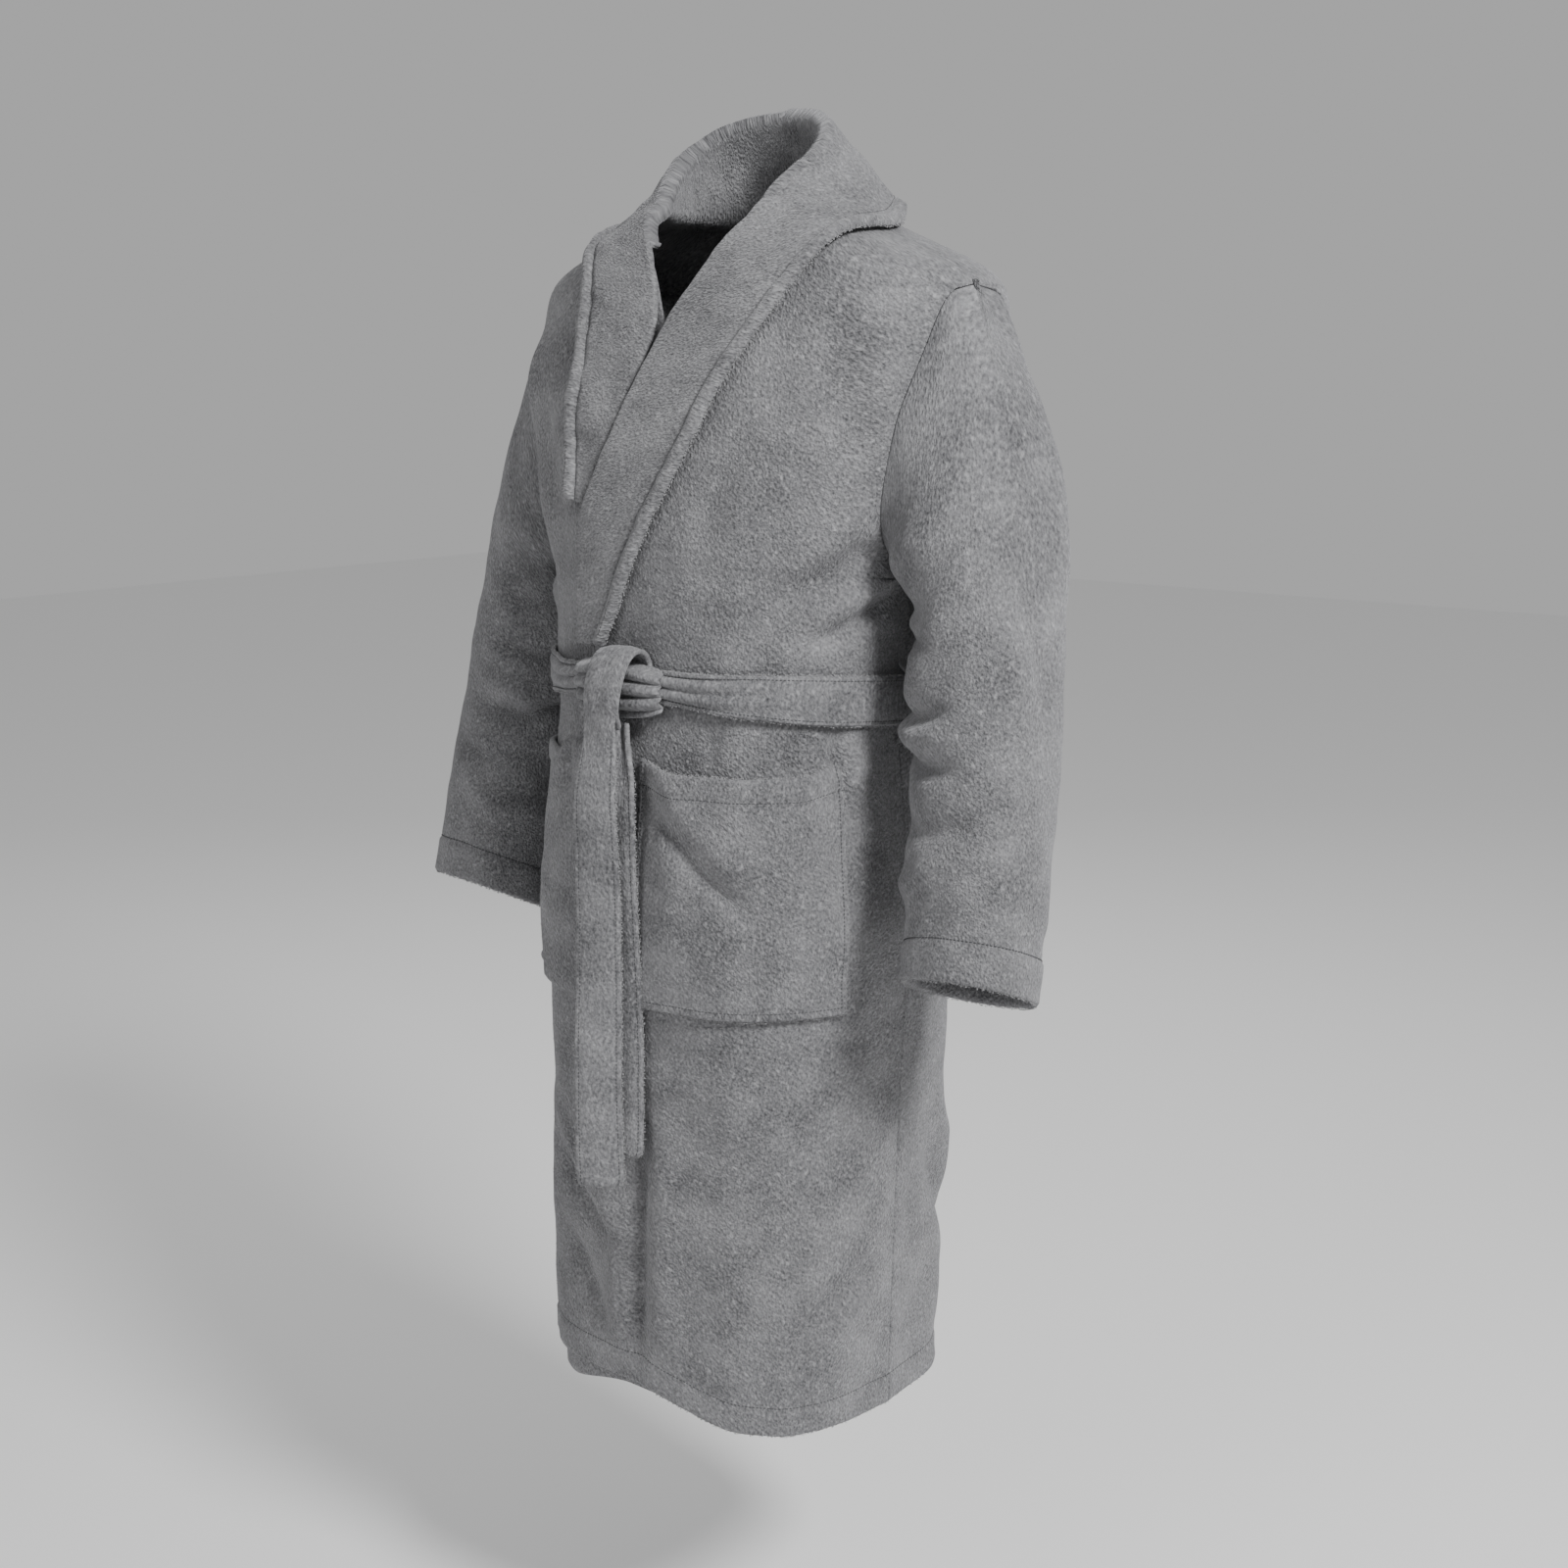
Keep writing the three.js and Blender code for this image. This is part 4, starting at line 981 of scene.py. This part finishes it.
# Geometry nodes: a small shape set along paths at an even pitch, either in line with the path or loosely scattered
def pathTree(name, material, scattered):
    tree = bpy.data.node_groups.new(name, "GeometryNodeTree")
    tree.interface.new_socket("Path", in_out="INPUT", socket_type="NodeSocketGeometry")
    for label in ("Pitch", "Length", "Radius", "Spread"):
        tree.interface.new_socket(label, in_out="INPUT", socket_type="NodeSocketFloat")
    tree.interface.new_socket("Geometry", in_out="OUTPUT", socket_type="NodeSocketGeometry")

    def anyVector(limit, seed):
        made = node(tree, "FunctionNodeRandomValue", data_type="FLOAT_VECTOR", Seed=seed)
        made.inputs[0].default_value, made.inputs[1].default_value = (-limit,) * 3, (limit,) * 3
        return made.outputs[0]

    start = node(tree, "NodeGroupInput").outputs
    curve = node(tree, "GeometryNodeMeshToCurve", {"Mesh": start["Path"]}).outputs["Curve"]
    even = node(tree, "GeometryNodeResampleCurve", {"Curve": curve, "Length": start["Pitch"]}, mode="LENGTH")
    halfLength = node(tree, "ShaderNodeMath", {0: start["Length"]}, operation="MULTIPLY")
    halfLength.inputs[1].default_value = .5
    scale = node(tree, "ShaderNodeCombineXYZ", {0: start["Radius"], 1: start["Radius"], 2: halfLength.outputs[0]})
    points = even.outputs["Curve"]
    if scattered:
        shape = node(tree, "GeometryNodeMeshIcoSphere", Subdivisions=1, Radius=1)
        turn = anyVector(3.14, 4)
        reach = node(tree, "ShaderNodeVectorMath", {0: anyVector(1, 9), "Scale": start["Spread"]}, operation="SCALE")
        move = node(tree, "GeometryNodeSetPosition", {"Geometry": points, "Offset": reach.outputs[0]})
        points = move.outputs["Geometry"]
    else:
        shape = node(tree, "GeometryNodeMeshUVSphere", Segments=6, Rings=5, Radius=1)
        tangent = node(tree, "GeometryNodeInputTangent").outputs[0]
        turn = node(tree, "FunctionNodeAlignRotationToVector", {"Vector": tangent}, axis="Z").outputs["Rotation"]
    put = node(tree, "GeometryNodeInstanceOnPoints", {"Points": points, "Instance": shape.outputs["Mesh"],
                                                      "Rotation": turn, "Scale": scale.outputs[0]})
    real = node(tree, "GeometryNodeRealizeInstances", {"Geometry": put.outputs["Instances"]})
    paint = node(tree, "GeometryNodeSetMaterial", {"Geometry": real.outputs["Geometry"]}, Material=material)
    node(tree, "NodeGroupOutput", {"Geometry": paint.outputs["Geometry"]})
    return tree


# One plain mesh of what the tree sets along all the paths of one body
def alongPaths(tree, name, paths, values):
    corners, edges = [], []
    for path in paths:
        first = len(corners)
        corners += [tuple(p) for p in toRow(path)]
        edges += [(first + i, first + i + 1) for i in range(len(path) - 1)]
    guide = bpy.data.meshes.new(name + "Path")
    guide.from_pydata(corners, edges, [])
    guideObject = bpy.data.objects.new(name + "Guide", guide)
    bpy.context.collection.objects.link(guideObject)
    modifier = guideObject.modifiers.new("along", "NODES")
    modifier.node_group = tree
    for item in tree.interface.items_tree:
        if item.in_out == "INPUT" and item.name in values:
            modifier[item.identifier] = values[item.name]
    bpy.context.view_layer.update()
    mesh = bpy.data.meshes.new_from_object(guideObject.evaluated_get(bpy.context.evaluated_depsgraph_get()))
    bpy.data.objects.remove(guideObject)
    obj = bpy.data.objects.new(name, mesh)
    bpy.context.collection.objects.link(obj)
    return obj


def paintWith(obj, material):
    obj.data.materials.clear()
    obj.data.materials.append(material)


back, left, right = panels()
print("body panels", sum(len(o.data.polygons) for o in (back, left, right)))
leftSleeve = sleeve(1, "left_sleeve_cloth", 41)
rightSleeve = sleeve(-1, "right_sleeve_cloth", 52)
leftCollar = collar(1, "left_collar_cloth", .80, collarRollLeft, collarEdgeLeft, overlapLift, 71)
rightCollar = collar(-1, "right_collar_cloth", .66, collarRollRight, collarEdgeRight, noLift, 75)
print("sleeves and collar", sum(len(o.data.polygons) for o in (leftSleeve, rightSleeve, leftCollar, rightCollar)))
beltObject = beltBand()
rearTail, frontTail = tail("belt_rear_tail_cloth"), tail("belt_front_tail_cloth")
wrap, bundle = knotPieces()
leftPocket = pocketPatch(1, "left_pocket_cloth", overlapLift, pocket["room"], 81)
rightPocket = pocketPatch(-1, "right_pocket_cloth", noLift, 0, 83)
leftLoop, rightLoop = beltLoop(1, "left_belt_loop_strap"), beltLoop(-1, "right_belt_loop_strap")
hanger = hangerLoop()
print("belt, pockets and loops made")

# Where cloth that crosses a joint starts and stops to bend, in the shared frame
underarm, armpitDepth = .181, underarmHeight - hookHeight
bends = {"free_front_edge": ((-.045, -.24, -1.1178), (-.1234, -.24, -1.1278)),
         "left_arm_cloth": ((underarm, 0, armpitDepth), (underarm + .097, 0, armpitDepth - .031)),
         "right_arm_cloth": ((-underarm, 0, armpitDepth), (-underarm - .097, 0, armpitDepth - .031))}


# Cloth that crosses a joint has its placement baked into its mesh, and everything else rides its body
def follow(obj, body):
    if body in bends:
        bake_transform(obj)
    else:
        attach(obj, body)


follow(left, "free_front_edge")
follow(leftSleeve, "left_arm_cloth")
follow(rightSleeve, "right_arm_cloth")
for obj in (back, right, leftCollar, rightCollar, beltObject, wrap, bundle, leftPocket, rightPocket, leftLoop,
            rightLoop, hanger):
    follow(obj, "robe")
follow(rearTail, "rear_belt_end")
follow(frontTail, "front_belt_end")

for obj, material, slotName, nodes in (
        (back, terryRobe, "terry", ["back_panel", "back_hem"]),
        (left, terryRobe, "terry", ["left_front", "left_front_overlap", "left_front_hem", "left_overlap_hem"]),
        (right, terryRobe, "terry", ["right_front", "right_front_hem"]),
        (leftSleeve, terryRobe, "terry", ["left_sleeve", "left_sleeve_hem"]),
        (rightSleeve, terryRobe, "terry", ["right_sleeve", "right_sleeve_hem"]),
        (leftCollar, terryCollar, "collar_terry", ["left_collar", "left_under_collar"]),
        (rightCollar, terryCollar, "collar_terry", ["right_collar", "right_under_collar"]),
        (beltObject, terryBelt, "belt_terry", ["belt_band"]),
        (wrap, terryBelt, "belt_terry", ["belt_knot"]),
        (bundle, terryBelt, "belt_terry", ["belt_knot"]),
        (rearTail, terryBelt, "belt_terry", ["belt_rear_tail"]),
        (frontTail, terryBelt, "belt_terry", ["belt_front_tail"]),
        (leftPocket, terryRobe, "terry", ["left_pocket"]),
        (rightPocket, terryRobe, "terry", ["right_pocket"]),
        (leftLoop, tape, "loop_terry", ["left_belt_loop"]),
        (rightLoop, tape, "loop_terry", ["right_belt_loop"]),
        (hanger, tape, "loop_tape", ["hanger_loop"])):
    paintWith(obj, material)
    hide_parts(*nodes)

stitchTree = pathTree("stitchesAlongPath", thread, False)
tuftTree = pathTree("tuftsAlongEdge", tufts, True)
for tree, runs, thing, word in ((stitchTree, stitchRuns, threadLook, "stitches"),
                                (tuftTree, edgeRuns, tuftLook, "edge_pile")):
    values = {"Pitch": thing["pitch"], "Length": thing["length"], "Radius": thing["width"],
              "Spread": thing.get("spread", 0.0)}
    for body in sorted({run[0] for run in runs}):
        made = alongPaths(tree, f"{body}_{word}", [path for owner, path in runs if owner == body], values)
        follow(made, body)
        print(made.name, len(made.data.polygons))

view = {"place": (1.286, -1.595, -.148), "aim": (0, -.01, -.555), "lens": 50}
cameraData = bpy.data.cameras.new("camera")
cameraObject = bpy.data.objects.new("camera", cameraData)
bpy.context.collection.objects.link(cameraObject)
cameraObject.location = view["place"]
cameraObject.rotation_euler = (Vector(view["aim"]) - cameraObject.location).to_track_quat("-Z", "Y").to_euler()
cameraData.lens = view["lens"]
bpy.context.scene.camera = cameraObject

studio = {"floorHeight": -1.42, "floorReach": 9, "floorTone": .90, "world": .44}
low, far = studio["floorHeight"], studio["floorReach"]
floorMesh = bpy.data.meshes.new("floor")
floorMesh.from_pydata([(-far, -far, low), (far, -far, low), (far, far, low), (-far, far, low)], [], [(0, 1, 2, 3)])
floor = bpy.data.objects.new("floor", floorMesh)
bpy.context.collection.objects.link(floor)
floorMesh.materials.append(plainMaterial("floorPaint", (studio["floorTone"],) * 3, .9))


def areaLight(name, place, target, size, power):
    data = bpy.data.lights.new(name, "AREA")
    data.shape, data.size, data.energy = "DISK", size, power
    lamp = bpy.data.objects.new(name, data)
    bpy.context.collection.objects.link(lamp)
    lamp.location = place
    lamp.rotation_euler = (Vector(target) - Vector(place)).to_track_quat("-Z", "Y").to_euler()


areaLight("keyLight", (2.5, -.7, 1.5), (0, 0, -.5), .8, 135)
areaLight("fillLight", (-.4, -3.0, .9), (0, 0, -.5), 1.6, 15)
areaLight("rimLight", (-1.8, 2.0, 1.0), (0, 0, -.4), 1.4, 18)
world = bpy.data.worlds.new("studio")
bpy.context.scene.world = world
world.use_nodes = True
world.node_tree.nodes["Background"].inputs["Color"].default_value = (1, 1, 1, 1)
world.node_tree.nodes["Background"].inputs["Strength"].default_value = studio["world"]
print("camera, floor and lights set")
